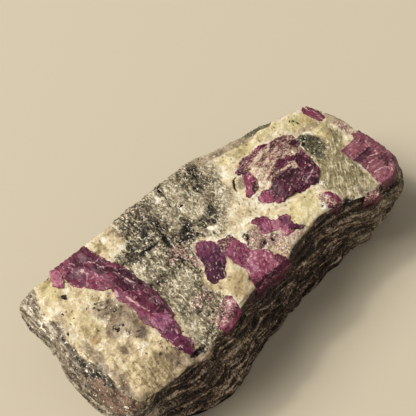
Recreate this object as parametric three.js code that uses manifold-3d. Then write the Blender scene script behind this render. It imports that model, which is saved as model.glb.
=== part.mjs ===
// Ruby crystals in a broken bar of feldspar and mica rock, lying on its flat underside.
// Millimetres. +X runs along the bar, +Y from the front side to the back side, +Z up through the face.
import * as THREE from "three";
import { mergeVertices } from "three/addons/utils/BufferGeometryUtils.js";
import Module from "manifold-3d";

// Driving dimensions
const FACE_HEIGHT = 14.3; // from the flat underside to the crystal face
const LEFT_FALL = { from: -15, slope: 0.16 }; // the face falls away to the left of this x
const RIGHT_FALL = { from: 19, slope: 0.1 }; // to the right of this x
const FRONT_FALL = { from: -4, slope: 0.04 }; // and in front of this y
const FACE_RIPPLE = 0.1; // height of the ripples of the face
const GAP = 0.3; // between a crystal and the walls of its socket
const COLUMNS = 104; // round the rim of the rock, an even number
const SPINE = { right: 19, left: -18.5, y: 0.8 }; // line that the rings of the face and underside close on
const UNDERSIDE_CURVE = 3; // width over which the foot curves into the flat underside
const SIDE_LEVELS = [0.12, 0.35, 0.6, 0.85]; // shares of the rim height at which a side profile is given
const LEDGE = { pitch: 2.3, depth: 0.4, sway: 0.5, ripple: 0.3 }; // foliation ledges, which sway up and down
const LUMP = { broad: 0.3, small: 0.15 }; // heights of the lumps of the sides

// All outlines are measured from a mark on the crystal face. This is where that mark lies,
// so that the origin is under the middle of the specimen.
const MARK = new THREE.Vector3(-1.22, 0.13, 0);

// Rim of the rock, anticlockwise from the right tip: x, y and height of the rim. Some stations also give
// the bevel width above the rim and how far the side stands out from the rim (minus is undercut) at the
// four side levels from the top down, then at the foot, and the height of the foot.
const RIM = [
  [25.7, 0.8, 13.9, [0.8, 0.5, 1.0, 0.8, 0.0, -1.5, 1.6]],
  [25.6, 2.8, 13.9],
  [24.9, 5.0, 13.8],
  [24.2, 7.0, 13.5],
  [23.6, 8.3, 13.3, [0.8, 0.3, 0.8, 0.7, -0.2, -1.8, 1.4]],
  [20.6, 9.1, 13.6],
  [18.2, 9.5, 13.8],
  [16.2, 10.3, 13.8, [0.8, 0.2, 0.5, 0.0, -0.6, -1.6, 0.5]],
  [12.1, 10.8, 13.8],
  [9.5, 11.3, 13.8, [0.8, -0.2, -0.6, -0.4, -1.2, -2.2, 0]],
  [7.4, 11.6, 13.8],
  [6.0, 12.2, 13.8],
  [4.2, 12.5, 13.8, [0.8, 0.1, 0.4, -0.6, -1.4, -2.4, 0]],
  [-1.0, 12.4, 13.8],
  [-3.8, 12.1, 13.8],
  [-6.2, 12.4, 13.8, [0.8, -0.3, 0.2, -0.5, -1.2, -2.4, 0]],
  [-8.8, 12.1, 13.7],
  [-11.5, 11.7, 13.6, [0.8, 0.0, -0.7, -0.3, -1.4, -2.6, 0]],
  [-13.3, 11.9, 13.6],
  [-14.6, 11.6, 13.6, [0.8, 0.1, 0.3, -0.2, -1.2, -2.6, 0.3]],
  [-18.8, 11.6, 13.4],
  [-21.0, 11.6, 13.0, [1.0, 0.1, 0.0, -0.6, -1.8, -3.2, 1.0]],
  [-23.0, 11.9, 12.6],
  [-24.6, 11.8, 12.2],
  [-25.9, 11.2, 11.9, [1.6, 0.1, 0.0, -1.0, -2.4, -4.0, 2.0]],
  [-26.2, 9.4, 11.4],
  [-26.2, 7.4, 11.2, [2.2, 0.0, -0.4, -1.0, -2.4, -3.6, 1.6]],
  [-25.9, 4.8, 11.1],
  [-26.3, 1.9, 11.0],
  [-26.7, -1.3, 11.0, [2.6, 0.0, -0.2, -0.6, -2.0, -3.4, 1.4]],
  [-26.3, -4.2, 10.9],
  [-25.5, -6.8, 10.8],
  [-25.2, -8.6, 10.9, [2.4, 0.1, 0.2, -0.3, -1.4, -2.8, 1.2]],
  [-23.9, -10.6, 11.1],
  [-21.9, -10.9, 11.7, [1.4, 0.0, 0.2, 0.2, -0.4, -1.4, 0.8]],
  [-20.6, -10.9, 12.3],
  [-19.3, -10.9, 12.7, [0.7, -0.6, 0.0, 0.4, 0.3, -0.4, 0.4]],
  [-15.5, -11.4, 13.2, [0.6, -0.7, 0.1, 0.8, 1.2, 1.0, 0]],
  [-13.6, -11.6, 13.4],
  [-11.6, -11.6, 13.5, [0.6, -0.9, 0.0, 0.9, 1.7, 1.8, 0]],
  [-10.2, -11.4, 13.5],
  [-9.3, -10.6, 13.6, [0.6, -1.2, -0.1, 1.2, 2.3, 2.5, 0]],
  [-7.2, -10.5, 13.6],
  [-5.6, -9.9, 13.7, [0.6, -0.6, 0.8, 1.2, 1.7, 2.0, 0]],
  [-3.7, -9.3, 13.7, [0.6, -0.2, 1.2, 1.1, 1.8, 2.1, 0]],
  [-1.7, -8.8, 13.7],
  [0.8, -8.8, 13.7, [0.6, -0.2, 0.5, 0.9, 1.6, 1.8, 0]],
  [4.2, -8.85, 13.7, [0.6, -0.2, 0.1, 0.5, 0.8, 0.9, 0]],
  [5.8, -8.4, 13.7],
  [6.4, -7.7, 13.7],
  [9.7, -7.15, 13.7, [0.6, -0.1, 0.7, 1.1, 1.8, 2.0, 0]],
  [12.3, -6.8, 13.7],
  [15.2, -7.0, 13.7, [0.6, 0.1, 0.6, 1.0, 1.5, 1.7, 0]],
  [17.3, -7.6, 13.6],
  [18.8, -8.4, 13.6, [0.6, -0.1, 0.3, 0.3, 0.1, -0.2, 0]],
  [20.8, -9.2, 13.4],
  [22.3, -8.5, 13.2, [0.6, 0.0, 0.3, 0.2, -0.2, -0.6, 0]],
  [24.7, -8.2, 12.9, [0.8, 0.5, 1.0, 0.8, 0.1, -0.8, 0.4]],
  [25.8, -7.4, 12.9],
  [26.9, -5.4, 13.2, [0.9, 1.2, 2.4, 2.4, 1.0, -0.6, 0.8]],
  [26.5, -3.4, 13.6, [0.9, 0.9, 1.6, 1.5, 0.4, -1.0, 1.0]],
  [26.2, -1.6, 13.8],
];
const LEFT_TIP = 28; // station of RIM at the left tip; the right tip is station 0

// Low lumps and hollows of the crystal face: x, y, height (minus is a hollow) and radius.
const HUMMOCKS = [
  [-20.5, 4.0, 0.35, 3.0],
  [-21.5, -6.5, -0.25, 2.6],
  [-8.0, -1.0, -0.4, 3.2],
  [-6.0, 9.0, 0.35, 2.4],
  [-2.5, 4.6, -0.45, 2.0],
  [0.2, 9.5, 0.4, 2.2],
  [-2.8, -6.6, 0.35, 1.8],
  [4.2, 2.2, 0.4, 2.6],
  [7.0, 6.0, 0.3, 2.0],
  [11.5, -4.4, 0.5, 2.4],
  [14.0, 8.6, 0.3, 3.0],
  [19.6, 2.7, -0.5, 1.7],
  [20.0, -3.0, 0.35, 2.6],
  [17.0, -7.4, -0.6, 1.0],
  [-12.3, -10.8, -0.7, 1.1],
];

const wasm = await Module();
wasm.setup();

const WELD = 1e-4; // corners nearer than this become one

// A closed three.js geometry as a manifold-3d solid.
function solidOf(geometry) {
  const bare = new THREE.BufferGeometry();
  bare.setAttribute("position", geometry.getAttribute("position"));
  bare.setIndex(geometry.index);
  const merged = mergeVertices(bare, WELD);
  return new wasm.Manifold(
    new wasm.Mesh({
      numProp: 3,
      vertProperties: new Float32Array(merged.attributes.position.array),
      triVerts: new Uint32Array(merged.index.array),
    }),
  );
}

// A manifold-3d solid as a flat-shaded three.js geometry.
function geometryOf(solid) {
  const mesh = solid.getMesh();
  const geometry = new THREE.BufferGeometry();
  geometry.setAttribute("position", new THREE.BufferAttribute(new Float32Array(mesh.vertProperties), 3));
  geometry.setIndex(new THREE.BufferAttribute(new Uint32Array(mesh.triVerts), 1));
  const flat = geometry.toNonIndexed();
  flat.computeVertexNormals();
  return flat;
}

// ---------------------------------------------------------------- the rock

// The side profile of every station, filled in between the stations that give one by distance along the rim.
function profiledRim() {
  const count = RIM.length;
  const position = RIM.map(([x, y]) => new THREE.Vector2(x, y));
  const travelled = [0];
  for (let i = 1; i <= count; i++) {
    travelled.push(travelled[i - 1] + position[i % count].distanceTo(position[i - 1]));
  }
  const given = RIM.map((station, i) => i).filter((i) => RIM[i][3]);
  given.push(count);
  return RIM.map((station, i) => {
    const next = given.find((g) => g > i);
    const last = given[given.indexOf(next) - 1];
    const share = (travelled[i] - travelled[last]) / (travelled[next] - travelled[last]);
    const from = RIM[last][3];
    const to = RIM[next % count][3];
    const profile = from.map((value, k) => value + (to[k] - value) * share);
    return { x: station[0], y: station[1], z: station[2], profile };
  });
}

// One half of the rim, from station first to station last, at equal steps along it.
function halfRim(stations, first, last, steps) {
  const run = [];
  for (let i = first; i <= last; i++) run.push(stations[i % stations.length]);
  const travelled = [0];
  for (let i = 1; i < run.length; i++) {
    travelled.push(travelled[i - 1] + Math.hypot(run[i].x - run[i - 1].x, run[i].y - run[i - 1].y));
  }
  const made = [];
  for (let step = 0; step < steps; step++) {
    const along = (travelled[run.length - 1] * step) / steps;
    const after = Math.max(1, travelled.findIndex((t) => t > along));
    const share = (along - travelled[after - 1]) / (travelled[after] - travelled[after - 1]);
    const [a, b] = [run[after - 1], run[after]];
    made.push({
      x: a.x + (b.x - a.x) * share,
      y: a.y + (b.y - a.y) * share,
      z: a.z + (b.z - a.z) * share,
      profile: a.profile.map((value, k) => value + (b.profile[k] - value) * share),
    });
  }
  return made;
}

// The columns of the rock: rim point, outward direction, side profile and the spine point they close on.
function rockColumns() {
  const stations = profiledRim();
  const half = COLUMNS / 2;
  const rim = [
    ...halfRim(stations, 0, LEFT_TIP, half),
    ...halfRim(stations, LEFT_TIP, stations.length, half),
  ];
  return rim.map((point, i) => {
    const before = rim[(i + COLUMNS - 1) % COLUMNS];
    const after = rim[(i + 1) % COLUMNS];
    const outward = new THREE.Vector2(after.y - before.y, before.x - after.x).normalize();
    const share = Math.min(i, COLUMNS - i) / half;
    const spine = new THREE.Vector2(SPINE.right + (SPINE.left - SPINE.right) * share, SPINE.y);
    return { ...point, outward, spine };
  });
}

// Height of the crystal face: level in the middle, falling to both ends and to the front, with low lumps.
// The waves here and on the sides are given in radians for each millimetre.
function faceHeight(x, y) {
  let height = FACE_HEIGHT;
  height -= LEFT_FALL.slope * Math.max(0, LEFT_FALL.from - x);
  height -= RIGHT_FALL.slope * Math.max(0, x - RIGHT_FALL.from);
  height -= FRONT_FALL.slope * Math.max(0, FRONT_FALL.from - y);
  for (const [cx, cy, rise, radius] of HUMMOCKS) {
    height += rise * Math.exp(-((x - cx) ** 2 + (y - cy) ** 2) / radius ** 2);
  }
  return height + FACE_RIPPLE * Math.sin(1.7 * x + 1.1 * Math.sin(0.9 * y)) * Math.sin(1.5 * y + 0.5 * x);
}

// How far a ledge of the foliation stands out at height z: each ledge slopes out, then steps back.
function ledge(x, y, z) {
  const wander = LEDGE.sway * Math.sin(0.32 * x) + LEDGE.ripple * Math.sin(0.9 * x + 0.4 * y);
  const layer = (z + wander) / LEDGE.pitch;
  return LEDGE.depth * (layer - Math.floor(layer) - 0.5);
}

// Lumps and hollows of the sides.
function lump(x, y, z) {
  const broad = LUMP.broad * Math.sin(0.55 * x + 0.3 * y) * Math.sin(0.6 * z + 0.2 * x);
  return broad + LUMP.small * Math.sin(1.3 * x + 0.9 * z);
}

// Where a column meets a side level: the profile is straight between its given levels.
function sideOffset(profile, share) {
  const levels = [0, ...SIDE_LEVELS, 1];
  const offsets = [profile[5], profile[4], profile[3], profile[2], profile[1], 0];
  const k = Math.min(levels.length - 2, levels.findLastIndex((level) => level <= share));
  return offsets[k] + ((offsets[k + 1] - offsets[k]) * (share - levels[k])) / (levels[k + 1] - levels[k]);
}

const UNDER_ROWS = [0, 0.45, 0.8]; // shares of the way from the spine to the foot
const SIDE_ROWS = 15;
const BEVEL_ROWS = [0.5, 1]; // shares of the bevel width, in from the rim
const FACE_ROWS = 9;

// A point of the underside, flat except where the foot curves up to the side.
function underPoint(column, share) {
  const [, , , , , foot, lift] = column.profile;
  const end = new THREE.Vector2(column.x, column.y).addScaledVector(column.outward, foot);
  const at = column.spine.clone().lerp(end, share);
  const toFoot = at.distanceTo(end);
  return [at.x, at.y, lift * Math.max(0, 1 - toFoot / UNDERSIDE_CURVE) ** 2];
}

// A point of the side, which ledges and lumps shape most half-way up.
function sidePoint(column, share) {
  const lift = column.profile[6];
  const z = lift + (column.z - lift) * share;
  const fade = Math.sin(Math.PI * share) ** 0.5;
  const relief = ledge(column.x, column.y, z) + lump(column.x, column.y, z);
  const offset = sideOffset(column.profile, share) + relief * fade;
  const at = new THREE.Vector2(column.x, column.y).addScaledVector(column.outward, offset);
  return [at.x, at.y, z];
}

// A point of the crystal face, at a distance in from the rim: the bevel rises in a curve to the face.
function facePoint(column, fromRim) {
  const rim = new THREE.Vector2(column.x, column.y);
  const reach = rim.distanceTo(column.spine);
  const at = rim.clone().lerp(column.spine, fromRim / reach);
  const onBevel = Math.min(1, fromRim / column.profile[0]);
  const rise = 1 - (1 - onBevel) ** 1.5;
  return [at.x, at.y, column.z + (faceHeight(at.x, at.y) - column.z) * rise];
}

// One column of points from the spine of the underside, round the side, to the spine of the face.
function columnPoints(column) {
  const points = UNDER_ROWS.map((share) => underPoint(column, share));
  for (let row = 0; row <= SIDE_ROWS; row++) points.push(sidePoint(column, row / SIDE_ROWS));
  const bevel = column.profile[0];
  for (const share of BEVEL_ROWS) points.push(facePoint(column, bevel * share));
  const reach = Math.hypot(column.x - column.spine.x, column.y - column.spine.y);
  for (let row = 1; row <= FACE_ROWS; row++) {
    points.push(facePoint(column, bevel + ((reach - bevel) * row) / FACE_ROWS));
  }
  return points;
}

// The closed surface of the rock before its sockets are cut. On both spines, mirrored columns share a corner.
function rockBlock() {
  const columns = rockColumns().map(columnPoints);
  const rows = columns[0].length;
  const vertexAt = (row, column) => {
    const onSpine = row === 0 || row === rows - 1;
    const wrapped = column % COLUMNS;
    return row * COLUMNS + (onSpine ? Math.min(wrapped, COLUMNS - wrapped) : wrapped);
  };
  const positions = [];
  for (let row = 0; row < rows; row++) {
    for (const points of columns) positions.push(...points[row]);
  }
  const index = [];
  for (let row = 0; row + 1 < rows; row++) {
    for (let column = 0; column < COLUMNS; column++) {
      const a = vertexAt(row, column);
      const b = vertexAt(row, column + 1);
      const c = vertexAt(row + 1, column + 1);
      const d = vertexAt(row + 1, column);
      if (a !== b) index.push(a, b, c);
      if (c !== d) index.push(a, c, d);
      if (a === b) index.push(a, c, d);
    }
  }
  const geometry = new THREE.BufferGeometry();
  geometry.setAttribute("position", new THREE.Float32BufferAttribute(positions, 3));
  geometry.setIndex(index);
  return geometry;
}

// ---------------------------------------------------------------- the crystals

const CRYSTAL_TOP = 18; // above every facet
const POCKET_TOP = 20; // above the face everywhere
const CUTTER = 80; // edge of the block that cuts a facet, longer than the specimen
const OPENING_STEPS = 4; // copies of a pocket between the crystal and the open air
const BLUNTEST = 0.6; // a corner moves out by at most the distance over this

// An upright prism over an outline, from z = bottom to z = top.
function prism(outline, bottom, top) {
  const shape = new THREE.Shape(outline.map(([x, y]) => new THREE.Vector2(x, y)));
  const geometry = new THREE.ExtrudeGeometry(shape, { depth: top - bottom, bevelEnabled: false });
  geometry.translate(0, 0, bottom);
  return solidOf(geometry);
}

// Everything above a plane through (x, y, z) that falls away towards the given bearing (degrees from +X).
function aboveFacet([x, y, z, bearing, slope]) {
  const box = new THREE.BoxGeometry(CUTTER, CUTTER, CUTTER);
  box.translate(0, 0, CUTTER / 2);
  box.rotateY(Math.atan(slope));
  box.rotateZ(THREE.MathUtils.degToRad(bearing));
  box.translate(x, y, z);
  return solidOf(box);
}

// A crystal: a prism over its outline, cut off at the top by its flat facets.
function facetted({ outline, root, facets }) {
  const uncut = prism(outline, root, CRYSTAL_TOP);
  return facets.reduce((solid, facet) => solid.subtract(aboveFacet(facet)), uncut);
}

// An outline with every corner moved out by a distance.
function grown(outline, distance) {
  const count = outline.length;
  const turn = Math.sign(THREE.ShapeUtils.area(outline.map(([x, y]) => ({ x, y })))); // 1 is anticlockwise
  return outline.map(([x, y], i) => {
    const [ax, ay] = outline[(i + count - turn) % count];
    const [bx, by] = outline[(i + count + turn) % count];
    const before = new THREE.Vector2(y - ay, ax - x).normalize();
    const after = new THREE.Vector2(by - y, x - bx).normalize();
    const corner = before.clone().add(after).normalize();
    const reach = distance / Math.max(BLUNTEST, corner.dot(before));
    return [x + corner.x * reach, y + corner.y * reach];
  });
}

// The socket of a crystal in the rock. At an edge of the rock the socket is open towards `open`.
function socket({ outline, root, open }) {
  const pocket = prism(grown(outline, GAP), root - GAP, POCKET_TOP);
  if (!open) return pocket;
  let swept = pocket;
  for (let step = 1; step <= OPENING_STEPS; step++) {
    const share = step / OPENING_STEPS;
    swept = swept.add(pocket.translate([open[0] * share, open[1] * share, 0]));
  }
  return swept;
}

// Each crystal is a list of prisms that have grown together. Facets: x, y, z of a point on the facet,
// the bearing it falls towards and its slope.
const CRYSTALS = {
  ruby_blade: [
    {
      outline: [
        [-14.4, 11.75], [-18.6, 11.75], [-18.9, 10.6], [-19.1, 9.2], [-18.7, 7.8], [-17.7, 6.2], [-16.9, 5.1],
        [-15.9, 4.3], [-15.3, 3.6], [-15.9, 2.3], [-15.1, -0.3], [-15.3, -1.8], [-14.7, -4.2], [-14.7, -5.8],
        [-14.2, -8.6], [-13.6, -10.3], [-13.2, -10.3], [-12.4, -8.8], [-12.6, -7.2], [-12.1, -5.2],
        [-11.5, -4.3], [-11.2, -0.8], [-11.6, 2.4], [-11.8, 4.0], [-12.8, 6.0], [-13.5, 8.3], [-14.0, 10.2],
      ],
      root: 11.2,
      open: [0, 3],
      facets: [
        [-16.4, 7.0, 15.0, 190, 0.14],
        [-14.6, 0.0, 15.2, 8, 0.3],
        [-14.4, -1.0, 15.1, 178, 0.4],
        [-13.6, -5.5, 15.0, 272, 0.16],
        [-16.0, 10.6, 14.9, 85, 0.6],
      ],
    },
  ],
  ruby_back_corner: [
    {
      outline: [
        [-19.75, 11.75], [-20.4, 11.6], [-20.9, 10.2], [-20.7, 9.2], [-20.2, 8.6], [-19.7, 9.3],
        [-19.45, 10.6],
      ],
      root: 11.0,
      open: [0, 3],
      facets: [
        [-20.0, 10.0, 14.1, 200, 0.3],
        [-20.0, 10.8, 14.1, 80, 0.5],
      ],
    },
  ],
  ruby_large: [
    {
      outline: [
        [9.4, 7.2], [10.8, 7.5], [13.2, 7.4], [16.0, 6.9], [17.9, 6.1], [18.6, 5.2], [18.1, 3.4], [17.8, 0.6],
        [17.4, -1.0], [16.1, -2.7], [15.2, -2.8], [14.4, -2.5], [12.7, -2.4], [12.1, -1.8], [9.5, -1.7],
        [9.5, -0.4], [9.9, 1.2], [9.7, 3.4], [9.0, 5.8],
      ],
      root: 10.0,
      facets: [
        [13.5, 1.0, 15.3, 300, 0.07],
        [13.0, 4.4, 15.2, 75, 0.26],
        [10.8, 2.0, 15.1, 182, 0.45],
        [17.0, 1.0, 15.0, 5, 0.8],
        [13.0, -1.6, 15.1, 268, 0.7],
        [16.4, 5.6, 14.8, 40, 0.5],
      ],
    },
    {
      outline: [[9.8, 1.4], [8.6, 1.4], [8.0, 0.6], [8.4, -0.3], [9.8, -1.2]],
      root: 11.5,
      facets: [[9.0, 0.4, 14.8, 200, 0.25]],
    },
    {
      outline: [[9.6, 3.0], [9.4, 6.2], [8.3, 4.6], [7.2, 2.9], [7.0, 2.0], [8.4, 2.2]],
      root: 11.5,
      facets: [
        [8.6, 3.6, 14.9, 120, 0.3],
        [8.6, 3.2, 14.9, 250, 0.35],
      ],
    },
    {
      outline: [[9.9, 4.6], [9.9, 7.0], [9.0, 7.3], [8.3, 6.4], [8.7, 5.3]],
      root: 11.5,
      facets: [[9.2, 6.2, 14.7, 150, 0.3]],
    },
  ],
  ruby_middle: [
    {
      outline: [
        [-2.6, 1.5], [-3.5, 1.0], [-4.3, -0.4], [-4.9, -2.2], [-5.2, -3.6], [-4.7, -4.6], [-3.3, -4.8],
        [-2.5, -4.1], [-1.4, -3.2], [-0.4, -2.8], [0.2, -1.2], [-0.7, -0.5], [-1.2, 0.5], [-1.8, 1.2],
      ],
      root: 10.5,
      facets: [
        [-3.2, -1.8, 15.1, 235, 0.12],
        [-2.8, 0.0, 15.0, 65, 0.35],
        [-2.0, -2.0, 15.0, 340, 0.25],
        [-4.2, -2.6, 14.9, 190, 0.7],
      ],
    },
    {
      outline: [
        [-0.9, -0.6], [-1.2, -3.2], [-0.9, -5.0], [-0.5, -6.3], [-1.1, -8.0], [-1.0, -9.0], [4.4, -9.0],
        [4.6, -7.4], [3.9, -6.4], [3.0, -5.3], [2.7, -4.6], [2.0, -4.2], [1.7, -2.6], [1.4, -0.6],
      ],
      root: 11.0,
      open: [0, -3],
      facets: [
        [0.8, -3.4, 14.8, 290, 0.06],
        [1.4, -6.8, 14.6, 275, 0.3],
        [1.2, -2.6, 14.8, 10, 0.3],
        [3.0, -7.0, 14.5, 350, 0.25],
      ],
    },
  ],
  ruby_upper_cluster: [
    {
      outline: [
        [4.9, -1.4], [4.7, -2.8], [5.2, -3.9], [6.1, -4.3], [6.1, -5.5], [6.8, -6.0], [9.0, -6.0],
        [9.1, -5.1], [9.3, -4.4], [8.9, -3.5], [8.0, -3.3], [7.1, -2.8], [6.7, -1.6], [5.8, -1.1],
      ],
      root: 11.5,
      facets: [
        [5.8, -2.6, 14.8, 220, 0.2],
        [7.4, -4.6, 14.7, 310, 0.15],
        [6.2, -2.0, 14.8, 60, 0.4],
      ],
    },
  ],
  ruby_lower_cluster: [
    {
      outline: [
        [-4.9, -6.9], [-5.7, -7.3], [-6.3, -8.3], [-7.7, -9.0], [-8.3, -9.8], [-7.9, -10.7], [-6.2, -10.5],
        [-4.8, -9.9], [-4.4, -9.0], [-4.3, -7.6],
      ],
      root: 11.5,
      open: [-0.8, -3],
      facets: [
        [-5.4, -8.4, 14.5, 300, 0.2],
        [-6.6, -9.3, 14.3, 200, 0.2],
        [-6.0, -9.6, 14.3, 250, 0.5],
      ],
    },
  ],
  ruby_front_chip: [
    {
      outline: [
        [15.4, -4.7], [14.5, -5.7], [13.9, -6.9], [15.0, -7.2], [16.2, -7.1], [16.3, -6.2], [15.9, -5.1],
      ],
      root: 11.5,
      open: [0, -3],
      facets: [
        [15.4, -5.8, 14.6, 20, 0.4],
        [15.0, -6.2, 14.5, 240, 0.35],
      ],
    },
  ],
  ruby_edge_chip: [
    {
      outline: [
        [19.2, -8.2], [18.7, -8.6], [19.6, -9.0], [20.6, -9.4], [21.2, -9.1], [20.9, -8.5], [20.0, -8.1],
      ],
      root: 11.2,
      open: [0, -2],
      facets: [
        [20.0, -8.6, 13.9, 250, 0.4],
        [20.0, -8.6, 13.9, 40, 0.2],
      ],
    },
  ],
  ruby_end: [
    {
      outline: [
        [21.8, -1.1], [21.7, -3.0], [22.3, -4.2], [22.3, -7.0], [22.3, -8.2], [24.6, -8.2], [25.8, -7.5],
        [26.9, -5.5], [26.5, -3.4], [26.3, -1.6], [25.9, 0.2], [25.0, 0.5], [24.6, -0.5], [23.6, -0.9],
      ],
      root: 11.8,
      open: [3, -2],
      facets: [
        [23.6, -2.2, 14.5, 240, 0.06],
        [24.2, -5.4, 14.3, 320, 0.12],
        [25.4, -3.4, 14.3, 5, 0.5],
        [24.0, -7.4, 13.9, 265, 0.6],
        [23.8, -1.6, 14.5, 80, 0.3],
      ],
    },
  ],
  ruby_top_corner: [
    {
      outline: [[23.1, 4.9], [23.7, 6.6], [23.5, 8.4], [22.6, 8.2], [22.4, 7.4], [22.7, 5.4]],
      root: 11.0,
      open: [1.5, 3],
      facets: [
        [23.0, 6.6, 14.3, 195, 0.3],
        [23.0, 7.4, 14.2, 80, 0.35],
      ],
    },
    {
      outline: [[23.3, 4.7], [23.9, 4.9], [24.5, 6.2], [24.2, 7.2], [23.7, 8.4], [23.3, 7.0]],
      root: 10.6,
      open: [3, 1],
      facets: [
        [23.7, 6.2, 14.1, 10, 0.5],
        [23.6, 7.4, 14.0, 70, 0.5],
      ],
    },
  ],
};

// ---------------------------------------------------------------- the specimen

// Several solids as one.
function joined(solids) {
  return solids.reduce((all, solid) => all.add(solid));
}

const rockMaterial = new THREE.MeshStandardMaterial({ color: 0xb5a888, roughness: 0.75, metalness: 0 });
const specimen = new THREE.Group();
specimen.position.copy(MARK);

const sockets = joined(Object.values(CRYSTALS).flat().map(socket));
const rock = new THREE.Mesh(geometryOf(solidOf(rockBlock()).subtract(sockets)), rockMaterial);
rock.name = "matrix_rock";
specimen.add(rock);

for (const [name, prisms] of Object.entries(CRYSTALS)) {
  const material = new THREE.MeshStandardMaterial({ color: 0x7a3350, roughness: 0.35, metalness: 0 });
  const crystal = new THREE.Mesh(geometryOf(joined(prisms.map(facetted))), material);
  crystal.name = name;
  specimen.add(crystal);
}

const group = new THREE.Group();
group.add(specimen);

export default group;
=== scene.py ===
# %% [markdown]
# # Ruby crystals in a bar of feldspar and mica rock
# The object is a hand specimen about 56 mm long: a broken bar of rock with a nearly flat crystal face on
# top. Magenta and purple ruby crystals lie in that face. This file first loads the fixed frame, then makes
# the rock, then the crystals, then their finishes, and last the floor, the light and the camera.

# %% Load the frame
import math
from functools import partial, reduce
from types import SimpleNamespace

import bpy
import numpy as np
from mathutils import Matrix


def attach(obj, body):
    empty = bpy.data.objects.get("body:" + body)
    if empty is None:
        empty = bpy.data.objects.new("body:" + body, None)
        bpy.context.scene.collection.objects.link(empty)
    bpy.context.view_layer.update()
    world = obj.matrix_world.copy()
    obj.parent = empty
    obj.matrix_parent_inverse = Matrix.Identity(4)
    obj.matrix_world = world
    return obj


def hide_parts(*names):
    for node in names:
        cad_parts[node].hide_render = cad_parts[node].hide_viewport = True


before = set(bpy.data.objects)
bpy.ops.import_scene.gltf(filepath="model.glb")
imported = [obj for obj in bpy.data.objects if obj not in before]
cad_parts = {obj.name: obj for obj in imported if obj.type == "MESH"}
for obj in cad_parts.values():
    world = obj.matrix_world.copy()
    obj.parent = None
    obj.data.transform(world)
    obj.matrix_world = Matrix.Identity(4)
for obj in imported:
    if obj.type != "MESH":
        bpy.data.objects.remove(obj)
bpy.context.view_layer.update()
print("nodes of the frame:", sorted(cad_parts))

# %% [markdown]
# ## Units and the mark on the face
# Blender works in metres. A stone this small is easier to describe in millimetres, so every shape below is
# worked out in millimetres from a mark on the crystal face, and one function turns the finished points into
# metres.

# %% Units and the mark
MM = 0.001
MARK = np.array([-1.22, 0.13, 0])  # where the mark lies, so that the origin is under the stone's middle


def in_metres(points):
    """The finished place of points: (point + mark) times a thousandth."""
    return (points + MARK) * MM


# %% [markdown]
# ## Random relief that is the same on every run
# Broken rock is rough at every scale, from lumps of several millimetres down to single grains. Blender's own
# noise textures only reach the shader, so the relief of the mesh gets its own noise: each corner of a grid
# of boxes is given a number worked out from its address, and the points in a box take a smooth mixture of
# them.

# %% Smooth noise
AXIS_PRIMES = 73856093, 19349663, 83492791
SEED_PRIME = 668265263
STIRS = (15, 739982445), (12, 695872825)  # shift and factor of each stir
LAST_SHIFT = 15
WORD, KEPT_BITS = 0xFFFFFFFF, 0xFFFFFF


def lottery(address, seed):
    """A number from 0 to 1 for each whole-number address (x, y, z): the three are multiplied by large primes,
    joined bit by bit with the seed, and stirred by shifts and multiplications."""
    x, y, z = (address[..., axis] * prime for axis, prime in enumerate(AXIS_PRIMES))
    number = (x ^ y ^ z ^ seed * SEED_PRIME) & WORD
    for shift, factor in STIRS:
        number = ((number ^ number >> shift) * factor) & WORD
    return ((number ^ number >> LAST_SHIFT) & KEPT_BITS) / KEPT_BITS


def smooth_step(low, high, value):
    """0 below low, 1 above high, and t²(3 - 2t) between them."""
    t = np.clip((value - low) / (high - low), 0, 1)
    return t * t * (3 - 2 * t)


def noise(points, size, seed):
    """Smooth numbers from -1 to 1. Cut space into boxes of this size (one number, or one for each axis). A
    point mixes the lottery numbers of the eight corners of its box, each by the product of s or 1 - s along
    the three axes, where s = t²(3 - 2t) and t is how far the point lies along the box."""
    cell = points / np.asarray(size, float)
    base = np.floor(cell).astype(np.int64)
    s = smooth_step(0, 1, cell - base)
    total = np.zeros(points.shape[:-1])
    for corner in np.ndindex(2, 2, 2):
        weight = np.prod(np.where(corner, s, 1 - s), axis=-1)
        total += weight * (2 * lottery(base + corner, seed) - 1)
    return total


def chips(points, size, seed):
    """Flat chips with sharp borders, like a broken face. Each box of this size holds one chip centre at a
    random place, and a point belongs to the nearest centre. Its height is a random plane through that centre,
    the sum of tilt · offset along the axes, plus half of the chip's own step. Also gives the chip's number,
    0 to 1."""
    cell = points / np.asarray(size, float)
    base = np.floor(cell).astype(np.int64)
    nearest = np.full(cell.shape[:-1], np.inf)
    owner = np.zeros(cell.shape, np.int64)
    offset = np.zeros(cell.shape)
    for corner in np.ndindex(3, 3, 3):
        address = base + corner - 1
        away = cell - address - np.stack([lottery(address, seed + axis) for axis in range(3)], axis=-1)
        distance = (away**2).sum(-1)
        closer = distance < nearest
        nearest = np.where(closer, distance, nearest)
        owner[closer] = address[closer]
        offset[closer] = away[closer]
    tilt = np.stack([2 * lottery(owner, seed + 3 + axis) - 1 for axis in range(3)], axis=-1)
    number = lottery(owner, seed + 6)
    return (tilt * offset).sum(-1) + 0.5 * (number - 0.5), number


probe = noise(np.random.default_rng(1).uniform(0, 40, (2000, 3)), 1, 3)
print(f"noise runs from {probe.min():.2f} to {probe.max():.2f}")

# %% [markdown]
# ## Outlines and distances
# Crystals, mineral patches and the edge of the stone are all closed outlines on the face. One measure serves
# them all: how far a point lies inside an outline, with a minus sign outside.


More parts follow.
